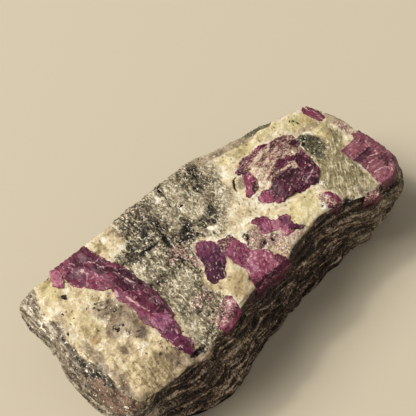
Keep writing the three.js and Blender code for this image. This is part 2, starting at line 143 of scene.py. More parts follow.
# %% Distance inside an outline
def depth_inside(points, outline):
    """The distance from each point to the nearest side of the outline, plus inside it and minus outside. For
    each side, the nearest spot is start + t · side with t from 0 to 1. A point is inside when a ray along +X
    crosses the outline an odd number of times."""
    outline = np.asarray(outline, float)
    x, y = points[..., 0], points[..., 1]
    nearest = np.full(x.shape, np.inf)
    inside = np.zeros(x.shape, bool)
    for (ax, ay), (bx, by) in zip(outline, np.roll(outline, -1, axis=0)):
        sx, sy = bx - ax, by - ay
        t = np.clip(((x - ax) * sx + (y - ay) * sy) / (sx * sx + sy * sy), 0, 1)
        nearest = np.minimum(nearest, (x - ax - t * sx) ** 2 + (y - ay - t * sy) ** 2)
        if ay != by:
            inside ^= ((ay > y) != (by > y)) & (x < ax + (y - ay) * sx / sy)
    return np.where(inside, 1, -1) * np.sqrt(nearest)


# %% [markdown]
# ## The rim of the rock
# The edge between the crystal face and the broken sides is the line that gives the stone its shape from
# above. Each station of the rim has a place and a height. Some stations also say how the side runs below
# them: the width of the worn bevel, how far the side stands out at four levels and at the foot, and how high
# the foot is.

# %% Stations of the rim
RIM = np.array([  # x, y and height, anticlockwise from the right tip
    (25.7, 0.8, 13.9), (25.6, 2.8, 13.9), (24.9, 5, 13.8), (24.2, 7, 13.5), (23.6, 8.3, 13.3),
    (20.6, 9.1, 13.6), (18.2, 9.5, 13.8), (16.2, 10.3, 13.8), (12.1, 10.8, 13.8), (9.5, 11.3, 13.8),
    (7.4, 11.6, 13.8), (6, 12.2, 13.8), (4.2, 12.5, 13.8), (-1, 12.4, 13.8), (-3.8, 12.1, 13.8),
    (-6.2, 12.4, 13.8), (-8.8, 12.1, 13.7), (-11.5, 11.7, 13.6), (-13.3, 11.9, 13.6), (-14.6, 11.6, 13.6),
    (-18.8, 11.6, 13.4), (-21, 11.6, 13), (-23, 11.9, 12.6), (-24.6, 11.8, 12.2), (-25.9, 11.2, 11.9),
    (-26.2, 9.4, 11.4), (-26.2, 7.4, 11.2), (-25.9, 4.8, 11.1), (-26.3, 1.9, 11), (-26.7, -1.3, 11),
    (-26.3, -4.2, 10.9), (-25.5, -6.8, 10.8), (-25.2, -8.6, 10.9), (-23.9, -10.6, 11.1), (-21.9, -10.9, 11.7),
    (-20.6, -10.9, 12.3), (-19.3, -10.9, 12.7), (-15.5, -11.4, 13.2), (-13.6, -11.6, 13.4),
    (-11.6, -11.6, 13.5), (-10.2, -11.4, 13.5), (-9.3, -10.6, 13.6), (-7.2, -10.5, 13.6), (-5.6, -9.9, 13.7),
    (-3.7, -9.3, 13.7), (-1.7, -8.8, 13.7), (0.8, -8.8, 13.7), (4.2, -8.85, 13.7), (5.8, -8.4, 13.7),
    (6.4, -7.7, 13.7), (9.7, -7.15, 13.7), (12.3, -6.8, 13.7), (15.2, -7, 13.7), (17.3, -7.6, 13.6),
    (18.8, -8.4, 13.6), (20.8, -9.2, 13.4), (22.3, -8.5, 13.2), (24.7, -8.2, 12.9), (25.8, -7.4, 12.9),
    (26.9, -5.4, 13.2), (26.5, -3.4, 13.6), (26.2, -1.6, 13.8),
])
LEFT_TIP = 28  # the station at the left tip; station 0 is the right tip
SIDES = {  # station: bevel width, stand-out at 85, 60, 35, 12 and 0 % of the height, foot height
    0: (0.8, 0.5, 1, 0.8, 0, -1.5, 1.6), 4: (0.8, 0.3, 0.8, 0.7, -0.2, -1.8, 1.4),
    7: (0.8, 0.2, 0.5, 0, -0.6, -1.6, 0.5), 9: (0.8, -0.2, -0.6, -0.4, -1.2, -2.2, 0),
    12: (0.8, 0.1, 0.4, -0.6, -1.4, -2.4, 0), 15: (0.8, -0.3, 0.2, -0.5, -1.2, -2.4, 0),
    17: (0.8, 0, -0.7, -0.3, -1.4, -2.6, 0), 19: (0.8, 0.1, 0.3, -0.2, -1.2, -2.6, 0.3),
    21: (1, 0.1, 0, -0.6, -1.8, -3.2, 1), 24: (1.6, 0.1, 0, -1, -2.4, -4, 2),
    26: (2.2, 0, -0.4, -1, -2.4, -3.6, 1.6), 29: (2.6, 0, -0.2, -0.6, -2, -3.4, 1.4),
    32: (2.4, 0.1, 0.2, -0.3, -1.4, -2.8, 1.2), 34: (1.4, 0, 0.2, 0.2, -0.4, -1.4, 0.8),
    36: (0.7, -0.6, 0, 0.4, 0.3, -0.4, 0.4), 37: (0.6, -0.7, 0.1, 0.8, 1.2, 1, 0),
    39: (0.6, -0.9, 0, 0.9, 1.7, 1.8, 0), 41: (0.6, -1.2, -0.1, 1.2, 2.3, 2.5, 0),
    43: (0.6, -0.6, 0.8, 1.2, 1.7, 2, 0), 44: (0.6, -0.2, 1.2, 1.1, 1.8, 2.1, 0),
    46: (0.6, -0.2, 0.5, 0.9, 1.6, 1.8, 0), 47: (0.6, -0.2, 0.1, 0.5, 0.8, 0.9, 0),
    50: (0.6, -0.1, 0.7, 1.1, 1.8, 2, 0), 52: (0.6, 0.1, 0.6, 1, 1.5, 1.7, 0),
    54: (0.6, -0.1, 0.3, 0.3, 0.1, -0.2, 0), 56: (0.6, 0, 0.3, 0.2, -0.2, -0.6, 0),
    57: (0.8, 0.5, 1, 0.8, 0.1, -0.8, 0.4), 59: (0.9, 1.2, 2.4, 2.4, 1, -0.6, 0.8),
    60: (0.9, 0.9, 1.6, 1.5, 0.4, -1, 1),
}
SIDE_LEVELS = [0, 0.12, 0.35, 0.6, 0.85, 1]  # shares of the height, from the foot to the rim
print(f"rim: {len(RIM)} stations, {len(SIDES)} side profiles")

# %% [markdown]
# ## A closed shell from rows and columns
# The rock and every crystal are made in the same way, as a bag of rows and columns. The columns go round the
# outline. The rows start on a line inside the underside, its spine, run out to the foot, climb the side and
# run in over the top to a second spine. Column k meets column -k on a spine, so their points there are shared
# and the shell is closed without a seam.


# %% Rows and columns round an outline
def walk(outline):
    """How far along a closed outline each corner lies, and the whole way round as the last number."""
    steps = np.roll(outline, -1, axis=0)[:, :2] - outline[:, :2]
    return np.concatenate([[0], np.cumsum(np.hypot(steps[:, 0], steps[:, 1]))])


def halves(way, far, columns):
    """Where the columns stand along an outline: the way from its start to corner `far` and the way back are
    each cut into half of the columns, at equal steps."""
    half = columns // 2
    out = np.linspace(0, way[far], half, endpoint=False)
    back = np.linspace(way[far], way[-1], half, endpoint=False)
    return np.concatenate([out, back])


def filled_in(places, way, table):
    """The rows of a table, given at these distances along a way, filled in straight at other places."""
    return np.stack([np.interp(places, way, column) for column in np.asarray(table).T], axis=-1)


def eased(values, times):
    """A closed run of values with its corners rounded: each becomes the mean (a + 2b + c) / 4 of itself, b,
    and its neighbours, a and c."""
    for _ in range(times):
        values = (np.roll(values, 1, axis=0) + 2 * values + np.roll(values, -1, axis=0)) / 4
    return values


def outward_of(rim):
    """The level direction out of an anticlockwise rim: its own direction, turned a quarter clockwise."""
    ahead = np.roll(rim, -1, axis=0) - np.roll(rim, 1, axis=0)
    out = np.stack([ahead[:, 1], -ahead[:, 0]], axis=-1)
    return out / np.linalg.norm(out, axis=-1, keepdims=True)


def folded(columns):
    """How far along the spine each column ends: 0 at the first column, 1 at the opposite one, and back."""
    k = np.arange(columns)
    return np.minimum(k, columns - k) * 2 / columns


def shell_normals(grid):
    """The outward direction at each point: the way to the next column crossed with that to the next row."""
    around = np.roll(grid, -1, axis=1) - np.roll(grid, 1, axis=1)
    normal = np.cross(around, np.gradient(grid, axis=0))
    return normal / np.maximum(np.linalg.norm(normal, axis=-1, keepdims=True), 1e-9)


def shell_mesh(grids):
    """Points and faces of one or more shells. Point (row, column) of a first or last row is shared by columns
    k and -k. Each face joins (r, c), (r, c+1), (r+1, c+1) and (r+1, c), which is anticlockwise from outside.
    Also gives the places of the kept points in each grid, to carry values to them."""
    points, faces, kept, start = [], [], [], 0
    for grid in grids:
        rows, columns = grid.shape[:2]
        k = np.arange(columns)
        fold = np.minimum(k, columns - k)
        spine = columns // 2 + 1
        inner = np.arange((rows - 2) * columns)
        address = np.empty((rows, columns), np.int64)
        address[0] = fold
        address[1:-1] = spine + inner.reshape(rows - 2, columns)
        address[-1] = spine + len(inner) + fold
        ring = np.roll(address, -1, axis=1)
        corners = np.stack([address[:-1], ring[:-1], ring[1:], address[1:]], axis=-1)
        faces.append(start + corners.reshape(-1, 4))
        keep = np.concatenate([k[:spine], columns + inner, (rows - 1) * columns + k[:spine]])
        points.append(grid.reshape(-1, 3)[keep])
        kept.append(keep)
        start += len(keep)
    return np.concatenate(points), np.concatenate(faces), kept


# %% Meshes from arrays
def in_scene(name, data):
    """A new object around a mesh, a light or a camera, in the scene."""
    thing = bpy.data.objects.new(name, data)
    bpy.context.scene.collection.objects.link(thing)
    return thing


def stone_object(name, grids, values, material):
    """An object whose mesh is the shells, with each value grid stored as a number at its points."""
    points, faces, kept = shell_mesh(grids)
    mesh = bpy.data.meshes.new(name)
    mesh.from_pydata(in_metres(points), [], faces)
    mesh.polygons.foreach_set("use_smooth", np.ones(len(faces), bool))
    for label, parts in values.items():
        numbers = np.concatenate([part.reshape(-1)[keep] for part, keep in zip(parts, kept)])
        mesh.attributes.new(label, "FLOAT", "POINT").data.foreach_set("value", numbers.astype(np.float32))
    mesh.materials.append(material)
    print(f"{name}: {2 * len(faces)} triangles")
    return in_scene(name, mesh)


# %% [markdown]
# ## The shape of the rock
# A real bar like this is broken, not cut. Its face is level in the middle and falls to both ends, its sides
# stand in ledges where the mica layers split, and its foot is flat enough to rest on. The formula below gives
# that form; noise then roughens it along the outward direction.

# %% Height of the crystal face
FACE_HEIGHT = 14.3
LEFT_PART, LEFT_SLOPE = -15, 0.16  # the face falls away to the left of this x
RIGHT_PART, RIGHT_SLOPE = 19, 0.1  # to the right of this x
FRONT_PART, FRONT_SLOPE = -4, 0.04  # and in front of this y
FACE_RIPPLE = 0.1
HUMMOCKS = [  # x, y, height (minus is a hollow) and radius
    (-20.5, 4, 0.35, 3), (-21.5, -6.5, -0.25, 2.6), (-8, -1, -0.4, 3.2), (-6, 9, 0.35, 2.4),
    (-2.5, 4.6, -0.45, 2), (0.2, 9.5, 0.4, 2.2), (-2.8, -6.6, 0.35, 1.8), (4.2, 2.2, 0.4, 2.6),
    (7, 6, 0.3, 2), (11.5, -4.4, 0.5, 2.4), (14, 8.6, 0.3, 3), (19.6, 2.7, -0.5, 1.7), (20, -3, 0.35, 2.6),
    (17, -7.4, -0.6, 1), (-12.3, -10.8, -0.7, 1.1),
]


def face_height(x, y):
    """Level in the middle, lower by slope · distance beyond the three lines, plus the hummocks, each
    height · exp(-distance² / radius²), plus a low ripple."""
    height = FACE_HEIGHT - LEFT_SLOPE * np.maximum(0, LEFT_PART - x)
    height = height - RIGHT_SLOPE * np.maximum(0, x - RIGHT_PART)
    height = height - FRONT_SLOPE * np.maximum(0, FRONT_PART - y)
    for cx, cy, rise, radius in HUMMOCKS:
        height = height + rise * np.exp(-((x - cx) ** 2 + (y - cy) ** 2) / radius**2)
    return height + FACE_RIPPLE * np.sin(1.7 * x + 1.1 * np.sin(0.9 * y)) * np.sin(1.5 * y + 0.5 * x)


def rounded(share):
    """How far a worn edge has risen at a share of its width: 1 - (1 - share)^1.5."""
    return 1 - (1 - share) ** 1.5


# %% Columns of the rock
ROCK_COLUMNS = 640
CORNER_ROUNDS = 3  # times that the corners of the rim are rounded
SPINE_ENDS = np.array([(19, 0.8), (-18.5, 0.8)])
rim_way = walk(RIM)
stand = halves(rim_way, LEFT_TIP, ROCK_COLUMNS)
rim = eased(filled_in(stand, rim_way, [*RIM, RIM[0]]), CORNER_ROUNDS)
given = sorted(SIDES)
side_way = [rim_way[k] for k in given] + [rim_way[-1]]
side = eased(filled_in(stand, side_way, [SIDES[k] for k in given] + [SIDES[0]]), CORNER_ROUNDS)
bevel_width, foot_lift = side[:, 0], side[:, 6]
rim_out = outward_of(rim[:, :2])
rock_spine = filled_in(folded(ROCK_COLUMNS), [0, 1], SPINE_ENDS)
print(f"rim is {rim_way[-1]:.1f} mm round, one column every {rim_way[-1] / ROCK_COLUMNS:.2f} mm")

# %% Relief of the broken sides
LEDGE = SimpleNamespace(pitch=2.3, depth=0.4, sway=0.5, ripple=0.3)  # they sway and ripple up and down
LUMP = SimpleNamespace(broad=0.3, small=0.15)  # heights of the lumps of the sides
side_profiles = np.stack([*side[:, 5:0:-1].T, np.zeros(ROCK_COLUMNS)])  # a row for each of SIDE_LEVELS


def side_offset(columns, share):
    """How far the side stands out at these columns, at a share of its height: the given levels, joined
    straight."""
    place = np.interp(share, SIDE_LEVELS, np.arange(len(SIDE_LEVELS)))
    low = np.minimum(place.astype(int), len(SIDE_LEVELS) - 2)
    part = place - low
    return side_profiles[low, columns] * (1 - part) + side_profiles[low + 1, columns] * part


def ledges(points):
    """Ledges of the split layers: each slopes out and then steps back, and low lumps run over them."""
    x, y, z = points[..., 0], points[..., 1], points[..., 2]
    layer = (z + LEDGE.sway * np.sin(0.32 * x) + LEDGE.ripple * np.sin(0.9 * x + 0.4 * y)) / LEDGE.pitch
    lump = LUMP.broad * np.sin(0.55 * x + 0.3 * y) * np.sin(0.6 * z + 0.2 * x)
    return LEDGE.depth * (layer - np.floor(layer) - 0.5) + lump + LUMP.small * np.sin(1.3 * x + 0.9 * z)


def ledge_fade(share):
    """Ledges are strongest half-way up the side and fade to its foot and its rim: sqrt(sin(π · share))."""
    return np.sqrt(np.sin(math.pi * share))


# %% The smooth form of the rock
UNDER_SHARES = np.array([0, 0.2, 0.4, 0.6, 0.75, 0.86, 0.93, 0.97])  # of the way from the spine to the foot
UNDER_CURVE = 3  # width over which the foot curves into the flat underside
SIDE_ROWS = 47
BEVEL_SHARES = np.array([0.2, 0.4, 0.6, 0.8])  # of the bevel's width, in from the rim
FACE_ROWS = 70


def rock_form():
    """The grid of the rock before it is roughened, row by row from the lower spine to the upper one."""
    foot = rim[:, :2] + rim_out * side[:, 5:6]
    t = UNDER_SHARES[:, None, None]
    under = rock_spine * (1 - t) + foot * t
    to_foot = np.linalg.norm(under - foot, axis=-1)
    under = np.dstack([under, foot_lift * np.maximum(0, 1 - to_foot / UNDER_CURVE) ** 2])

    share = np.linspace(0, 1, SIDE_ROWS)[:, None]
    z = foot_lift + (rim[:, 2] - foot_lift) * share
    edge = np.broadcast_to(rim[:, :2], (SIDE_ROWS, ROCK_COLUMNS, 2))
    offset = side_offset(np.arange(ROCK_COLUMNS), share) + ledges(np.dstack([edge, z])) * ledge_fade(share)
    wall = np.dstack([edge + rim_out * offset[..., None], z])

    reach = np.linalg.norm(rim[:, :2] - rock_spine, axis=-1)
    face = bevel_width + (reach - bevel_width) * np.linspace(0, 1, FACE_ROWS)[:, None]
    inset = np.concatenate([BEVEL_SHARES[:, None] * bevel_width, face])
    t = (inset / reach)[..., None]
    top = rim[:, :2] * (1 - t) + rock_spine * t
    rise = rounded(np.minimum(1, inset / bevel_width))
    height = rim[:, 2] + (face_height(top[..., 0], top[..., 1]) - rim[:, 2]) * rise
    return np.concatenate([under, wall, np.dstack([top, height])])


form = rock_form()
print("rock grid:", form.shape[0], "rows by", form.shape[1], "columns")

# %% [markdown]
# ## Where the minerals lie
# The face is a patchwork: warm cream feldspar, grey salt-and-pepper grains, dark streaky mica, a greenish
# fibrous part and pink clouds of ruby dust. Each mineral is a list of patches, ovals given one by one.
# Painting every grain would be endless, so the ovals only say where a mineral is, and noise bends and breaks
# up their edges.


# %% Soft patches
OVAL_FADE = 1.3, 0.7  # where an oval starts and where it is full, as shares of its half-lengths
# How borders are bent: how far, the size of the noise, both in mm, and its seed. Some are bent twice.
ROCK_BENDS = (0.35, 1.3, 11), (0.14, 0.4, 21)
WILD_BENDS = (0.9, 2.2, 26),  # on top of the rock's own
SPOT_BENDS = (0.16, 0.4, 41),
RUBY_BENDS = (0.3, 1, 71), (0.12, 0.35, 81)
SCRATCH_BENDS = (0.1, 0.3, 91),
FACE_BENDS = (0.12, 0.8, 96),


def turned(x, y, degrees):
    """x and y in axes turned anticlockwise by this many degrees: x·cos + y·sin and y·cos - x·sin."""
    c, s = math.cos(math.radians(degrees)), math.sin(math.radians(degrees))
    return x * c + y * s, y * c - x * s


def patches(points, ovals):
    """How strongly a mineral shows, 0 to 1. An oval is x, y, half-length and half-width, then its strength if
    that isn't 1, then its turn in degrees if it has one. In its own axes, q = sqrt((u/a)² + (v/b)²), and
    the oval fades from q = 0.7 to q = 1.3. Ovals join as 1 - product of (1 - strength · fade)."""
    bare = np.ones(points.shape[:-1])
    for x, y, a, b, *rest in ovals:
        strength, turn = rest + [1, 0][len(rest):]
        u, v = turned(points[..., 0] - x, points[..., 1] - y, turn)
        bare *= 1 - strength * smooth_step(*OVAL_FADE, np.sqrt((u / a) ** 2 + (v / b) ** 2))
    return 1 - bare


def bent(points, bends):
    """The points moved along X and Y by noise, once for each bend, so that straight edges become ragged."""
    for amount, size, seed in bends:
        moved = points.copy()
        for axis in range(2):
            moved[..., axis] += amount * noise(points, size, seed + axis)
        points = moved
    return points


# %% Large zones of the face
GRANULAR_ZONE = [
    (-12.8, 6.9), (-11.5, 3.5), (-11.2, 0), (-11.6, -4.5), (-12, -7), (-12.2, -9.5), (-10.5, -13), (-6, -13),
    (-6.4, -7.2), (-5, -6.9), (-5.2, -5.5), (-5.9, -4.6), (-5.2, -3.2), (-4.8, -1), (-3.2, 1.4), (-1.5, 1.6),
    (0.3, 1.2), (2.4, 1.2), (3.6, 2.4), (5.2, 3.4), (6.2, 4.4), (6.4, 7), (6.6, 9), (7.4, 13), (-9.6, 13),
    (-9.4, 8.5), (-11, 7.6),
]
FIBROUS_ZONE = [
    (18.2, 2.2), (21, 2.6), (23.6, 3.5), (24.5, 1), (22, -1), (21.7, -3.5), (22.1, -8.6), (20, -9),
    (18.6, -8.2), (16.4, -7.4), (16.2, -5), (15.8, -3), (17.4, -1),
]
LEFT_BEVEL = [
    (-23.9, 14), (-24.3, 11), (-24.4, 8), (-24.6, 5), (-23.9, 2.5), (-23.6, 0), (-23.6, -3), (-23.3, -6),
    (-22.6, -8.5), (-21.8, -10.6), (-20.4, -15), (-32, -15), (-32, 14),
]

# %% Patches of the face
MICA = [  # dark, flaky mica
    (-8.9, 6.6, 1, 1.4, 0.45), (-7.2, 8.6, 0.5, 2.4, 0.7), (-5, 8.4, 0.6, 2.6, 0.75, 4),
    (-6.2, 7.4, 1.3, 2.2, 0.45), (-5.5, 4.8, 0.5, 1.4, 0.7), (-11.2, 6.2, 1.4, 0.8, 0.5),
    (-9.4, 5.6, 2, 1.1, 0.75), (-12.6, 6.6, 0.4, 0.9, 0.5), (-2.6, 4, 1.7, 1, 0.8, 35),
    (-3.4, 3, 1.5, 0.6, 0.8), (1.2, 3.4, 1.4, 1.1, 0.65, 30), (1.9, 4.6, 0.8, 0.6, 0.6),
    (2.9, 8.3, 0.5, 1.3, 0.6), (4.1, 10.2, 0.7, 1.2, 0.7), (4.6, 8.6, 0.5, 1.2, 0.5),
    (-1.1, 11.6, 0.5, 0.7, 0.8), (-4.4, 10.4, 0.7, 0.9, 0.6), (-6.6, 6.2, 2.2, 0.5, 0.5),
    (-3.6, 6.6, 0.35, 1.4, 0.5), (15.4, 9.9, 2.4, 0.4, 0.6, -9), (8.6, 10.5, 0.9, 0.5, 0.4, -10),
    (18.9, 4.3, 1, 0.6, 1, -10), (2.9, -2.1, 0.6, 0.7, 0.9), (4, -4.4, 0.9, 0.5, 0.9, 25),
    (5.6, -4.8, 0.6, 0.6, 0.7), (9.4, -5.9, 0.8, 0.3, 0.8, -40), (-12.6, -10.7, 1.4, 0.55, 1, -5),
    (17.1, -7.5, 0.9, 0.35, 1, 15), (23.2, -9, 1.5, 0.3), (-24.7, 1.6, 0.5, 1.9, 0.8, 4),
    (-24.9, -2.6, 0.6, 2.6, 0.9, 6), (-24.1, -5.8, 0.6, 2.2, 0.8, 10), (-9.2, 5.2, 1.4, 0.5, 0.7),
    (-8.8, 6, 0.7, 0.8, 0.5), (-10.2, 1, 0.4, 2.4, 0.35, 10), (-8.4, -6.2, 0.8, 1.4, 0.4),
    (-6.4, -3.2, 0.3, 1.4, 0.5, -12), (-9, -9, 0.4, 1.4, 0.4, 5), (-7.2, 0.2, 0.4, 1, 0.4, -15),
    (-18.2, -0.9, 0.7, 0.5, 0.6), (-16.9, 1.2, 0.6, 0.3, 0.6, -20), (-16.4, -7.6, 0.4, 0.3, 0.6),
]
SPOTS = [  # small black spots and streaks
    (-21, 7.1, 0.34, 0.5), (-22.6, 5.3, 0.14, 0.35), (-22.7, 3.3, 0.12, 0.3), (-21.8, 3.8, 0.17, 0.2),
    (-23.7, 2.5, 0.2, 0.25), (-18.9, 3.2, 0.14, 0.2), (-18.6, 2.7, 0.14, 0.32, 1, 30),
    (-18.5, 3.6, 0.12, 0.2, 0.9), (-17.9, 3, 0.1, 0.22, 0.9, 30), (-17, 1.1, 0.32, 0.2, 0.9, -20),
    (-17.4, 2.3, 0.4, 0.14, 0.7), (-18.4, -1.3, 0.28, 0.25), (-18.6, -0.8, 0.2, 0.3, 0.7),
    (-17.4, -1.3, 0.2, 0.15), (-16.3, -7.5, 0.22, 0.13), (-15.2, -7.7, 0.12, 0.16),
    (-16.5, -3.1, 0.35, 0.1, 0.8, -20), (-15.9, -3.4, 0.3, 0.12, 0.7, -30), (-15.6, -4.4, 0.1, 0.4, 0.6),
    (-23.7, -7, 0.12, 0.16), (-15.4, -8.5, 0.3, 0.14, 0.6), (-7.2, 8.5, 0.1, 1.7), (-5, 8.4, 0.1, 0.9),
    (-4.85, 7.4, 0.1, 0.6), (-9.3, 9, 0.07, 1.4, 0.8), (-8.2, 7.4, 0.07, 1.2, 0.8),
    (-6.2, 9.6, 0.07, 1.2, 0.8, 5), (-4.4, 9.2, 0.08, 1.4, 0.9, 4), (-5.3, 5.6, 0.1, 1, 0.9),
    (-1.5, 9.4, 0.07, 1.4, 0.9, -8), (1.6, 7.8, 0.08, 1.6, 0.9, 4), (2.7, 8.6, 0.09, 1, 0.9),
    (3.3, 8.2, 0.09, 0.8, 0.8, 6), (-8.6, 3.6, 0.08, 1, 0.7, 10), (-5.8, 0.8, 0.1, 1.2, 0.9, -18),
    (-6.6, -0.8, 0.08, 0.9, 0.8, -25), (-8.7, -5.6, 0.08, 1.3, 0.8), (-9.4, 1.8, 0.08, 0.8, 0.7, 15),
    (-10.2, -3.4, 0.07, 1, 0.6, 5), (-5.6, 4.4, 0.35, 1.3, 0.9), (-2.4, 4.1, 0.5, 0.55, 1, -20),
    (-1.9, 4.9, 0.15, 0.5, 1, 20), (-4.1, 3.25, 0.3, 0.25), (-2.6, 2.7, 0.3, 0.2), (-1.8, 2.5, 0.35, 0.25),
    (-1.9, 3.4, 0.3, 0.1), (1.2, 2.6, 0.28, 0.5, 0.9), (0, 3.95, 0.25, 0.12), (1.8, 4, 0.25, 0.12),
    (2.1, 4.6, 0.2, 0.14, 0.9), (-0.3, 2.5, 0.15, 0.15, 0.9), (3.2, 3.5, 0.14, 0.14, 0.9),
    (5.5, 2.3, 0.14, 0.25, 0.8), (3.7, 10.6, 0.25, 0.2), (4, 9.9, 0.2, 0.35), (4.7, 10.6, 0.15, 0.25, 0.9),
    (-1.4, 11.2, 0.15, 0.4), (-0.9, 11.8, 0.4, 0.2), (-0.6, 7.35, 0.32, 0.12, 1, -15),
    (-1.6, 8.3, 0.14, 0.16), (-8, 5.2, 1.8, 0.23, 1, -3), (-2.3, 4.3, 1, 0.36, 1, 35),
    (-3.2, 3.1, 1.1, 0.34, 1, -12), (-9.2, 4.9, 0.3, 0.14), (-12, 5.7, 0.12, 0.22, 0.9),
    (-10.4, 5.8, 0.18, 0.2, 0.9), (-12.6, 6.3, 0.2, 0.4, 0.8), (-10.2, 5.2, 0.4, 0.14, 0.9),
    (-5, -2.1, 0.4, 0.12), (-5.1, -1.5, 0.1, 0.6, 0.9), (-6.2, -3.65, 0.3, 0.12), (-7.5, -7.6, 0.24, 0.18),
    (-8.7, -6.5, 0.28, 0.18), (-8.1, -7.6, 0.5, 0.1, 0.8), (-6, -5.3, 0.2, 0.2, 0.8),
    (-3.3, -4.75, 0.35, 0.16, 0.8), (3, -2, 0.2, 0.3), (2.9, -2.5, 0.35, 0.2), (2.4, -3.2, 0.35, 0.1, 1, 40),
    (4.1, -4.4, 0.4, 0.12, 1, 35), (4.2, -4.7, 0.2, 0.2), (3.4, -4.85, 0.3, 0.12),
    (5.3, -4.9, 0.3, 0.35, 0.8), (13.5, -5.6, 0.25, 0.35, 0.6), (15.1, -3.9, 0.25, 0.08, 1, 45),
    (16.8, -7.7, 0.35, 0.18), (19.75, 7.65, 0.2, 0.15), (20.2, 7.25, 0.4, 0.13, 1, -45),
    (20.5, 6.7, 0.2, 0.3), (19.4, 4.1, 0.3, 0.2), (18.7, 3.5, 0.35, 0.3), (18.3, 4.3, 0.25, 0.3),
    (20.7, 2.3, 0.15, 0.6, 0.9), (20.1, -2.5, 0.14, 0.2, 0.8), (19.6, -6.8, 0.4, 0.14, 0.9),
    (23.9, 4.9, 0.14, 0.35, 0.8), (7.7, 5.8, 0.5, 0.16, 1, 10), (7.1, 5.1, 0.17, 0.9, 1, -30),
    (6.75, 4.1, 0.1, 0.4, 0.8), (-12.6, -10.7, 1, 0.35, 1, -5), (23.2, -8.9, 1.2, 0.16),
    (-25, 1.5, 0.14, 1.6, 0.8), (-25.3, -2.4, 0.16, 0.7, 0.9), (-25.1, -4.4, 0.16, 1, 0.9),
    (-25.7, -3.6, 0.2, 0.6, 0.8), (-24.5, -5.6, 0.12, 0.7, 0.8), (-23.8, -1.4, 0.12, 0.6, 0.6),
    (-21, -11.6, 1.4, 0.2, 0.9, -12), (-17.5, -11.9, 1.2, 0.2, 0.7),
]
AMBER = [  # brownish yellow stains
    (-20.2, 2.9, 1.6, 1.3, 0.55), (-21.5, -0.8, 0.7, 0.5, 0.9), (-19.3, 6.4, 0.8, 0.5, 0.6),
    (-21.6, -4, 0.9, 1, 0.4), (-2.5, -6.9, 1.8, 2, 0.75), (-0.2, 8.6, 0.8, 0.6, 0.6),
    (20.6, 5.6, 2.2, 1, 0.6), (18.2, 8.4, 1, 0.5, 0.5), (22.6, 5.6, 1.2, 1.6, 0.55),
    (22.3, 2.3, 0.5, 1.3, 0.6, -25), (23.3, 0.6, 1.2, 0.5, 0.4), (-22.8, -10.6, 2.4, 1.4, 0.6, -10),
    (11, -6, 2.8, 1, 0.55, 5), (12, 8, 1.6, 0.3, 0.4), (-13.4, 9.4, 0.32, 0.3),
    (-13.2, 10.3, 0.45, 0.25, 0.9), (22.2, 2.4, 0.5, 0.9, 0.5, -20), (-19.2, -2, 1.4, 0.6, 0.4),
    (14.3, -3, 1, 0.4, 0.3),
]
CLEAVED = [  # brownish feldspar split along Y
    (-20.2, -8.8, 3.4, 2.6), (-16.6, -9.2, 2.2, 2.2, 0.9), (-14.9, -7.8, 0.7, 2, 0.7, 8),
    (-19.6, -5, 2.4, 1.2, 0.4),
]
OLIVE = [  # greenish brown parts
    (15.4, 9.8, 2.5, 0.6, 1, -9), (8.8, 10.4, 1, 0.5, 0.5), (19.7, 2.4, 1.4, 2, 1, -8),
    (19.2, 0.4, 0.7, 0.8, 0.8), (22.4, 2.6, 1.4, 1.8, 0.25),
]
PALE = [  # lighter parts of the granular rock
    (-2.7, 9, 1.1, 3, 0.6), (-2.9, 6.2, 0.9, 1.6, 0.5), (0, 7.4, 1.4, 2, 0.6), (-9.6, 2.6, 2, 1.4, 0.4),
    (-8.4, -2.4, 2.4, 2.6, 0.4, 20), (-7, -6.6, 1.6, 1.4, 0.3), (0.2, 8.4, 1.5, 3.2, 0.9),
    (-2.6, 10.8, 0.7, 0.8, 0.9), (0, 5.4, 0.8, 1.2, 0.8), (5.4, 5, 1.4, 2.2, 0.9), (-2.6, 7, 1.2, 1.2, 0.5),
    (-8.2, 4.2, 1.4, 0.7, 0.5), (-7.4, -1.6, 1.6, 1.4, 0.6, 30), (-11, 3, 0.7, 1.6, 0.6),
    (-11.2, -7.4, 1.3, 2.2), (-9.2, -7.6, 1.2, 1.6, 0.6), (1.4, 6.6, 1.2, 2.2, 0.8),
    (0.6, 1.6, 1.4, 0.8, 0.8), (4.4, 3.2, 1.2, 1.4, 0.8), (6.2, 9, 1, 2.4, 0.8), (-9.2, 11, 1.2, 0.8, 0.5),
    (-9.6, -4.6, 1.2, 1.6, 0.3),
]
GOLDEN = [  # smooth yellow cream
    (11.5, -4.3, 3.4, 1.9, 1, 10), (4.4, 0.2, 2.6, 1.2, 0.3, 20), (13, 8.8, 5.6, 1.2, 1, -6),
    (20.8, 6.2, 3, 1.8, 1, -20), (18.6, -3.4, 1.8, 1.6, 0.6), (-22.3, 9.3, 1.9, 1.9, 0.8),
    (-21, 2, 1.8, 2.6, 0.6), (-18.4, -8.4, 3.4, 2.4, 0.5), (22.7, 3.4, 1.7, 3), (-18.4, 5, 1.4, 1.4, 0.4),
    (-12.6, 9.4, 1.2, 1.6, 0.4),
]
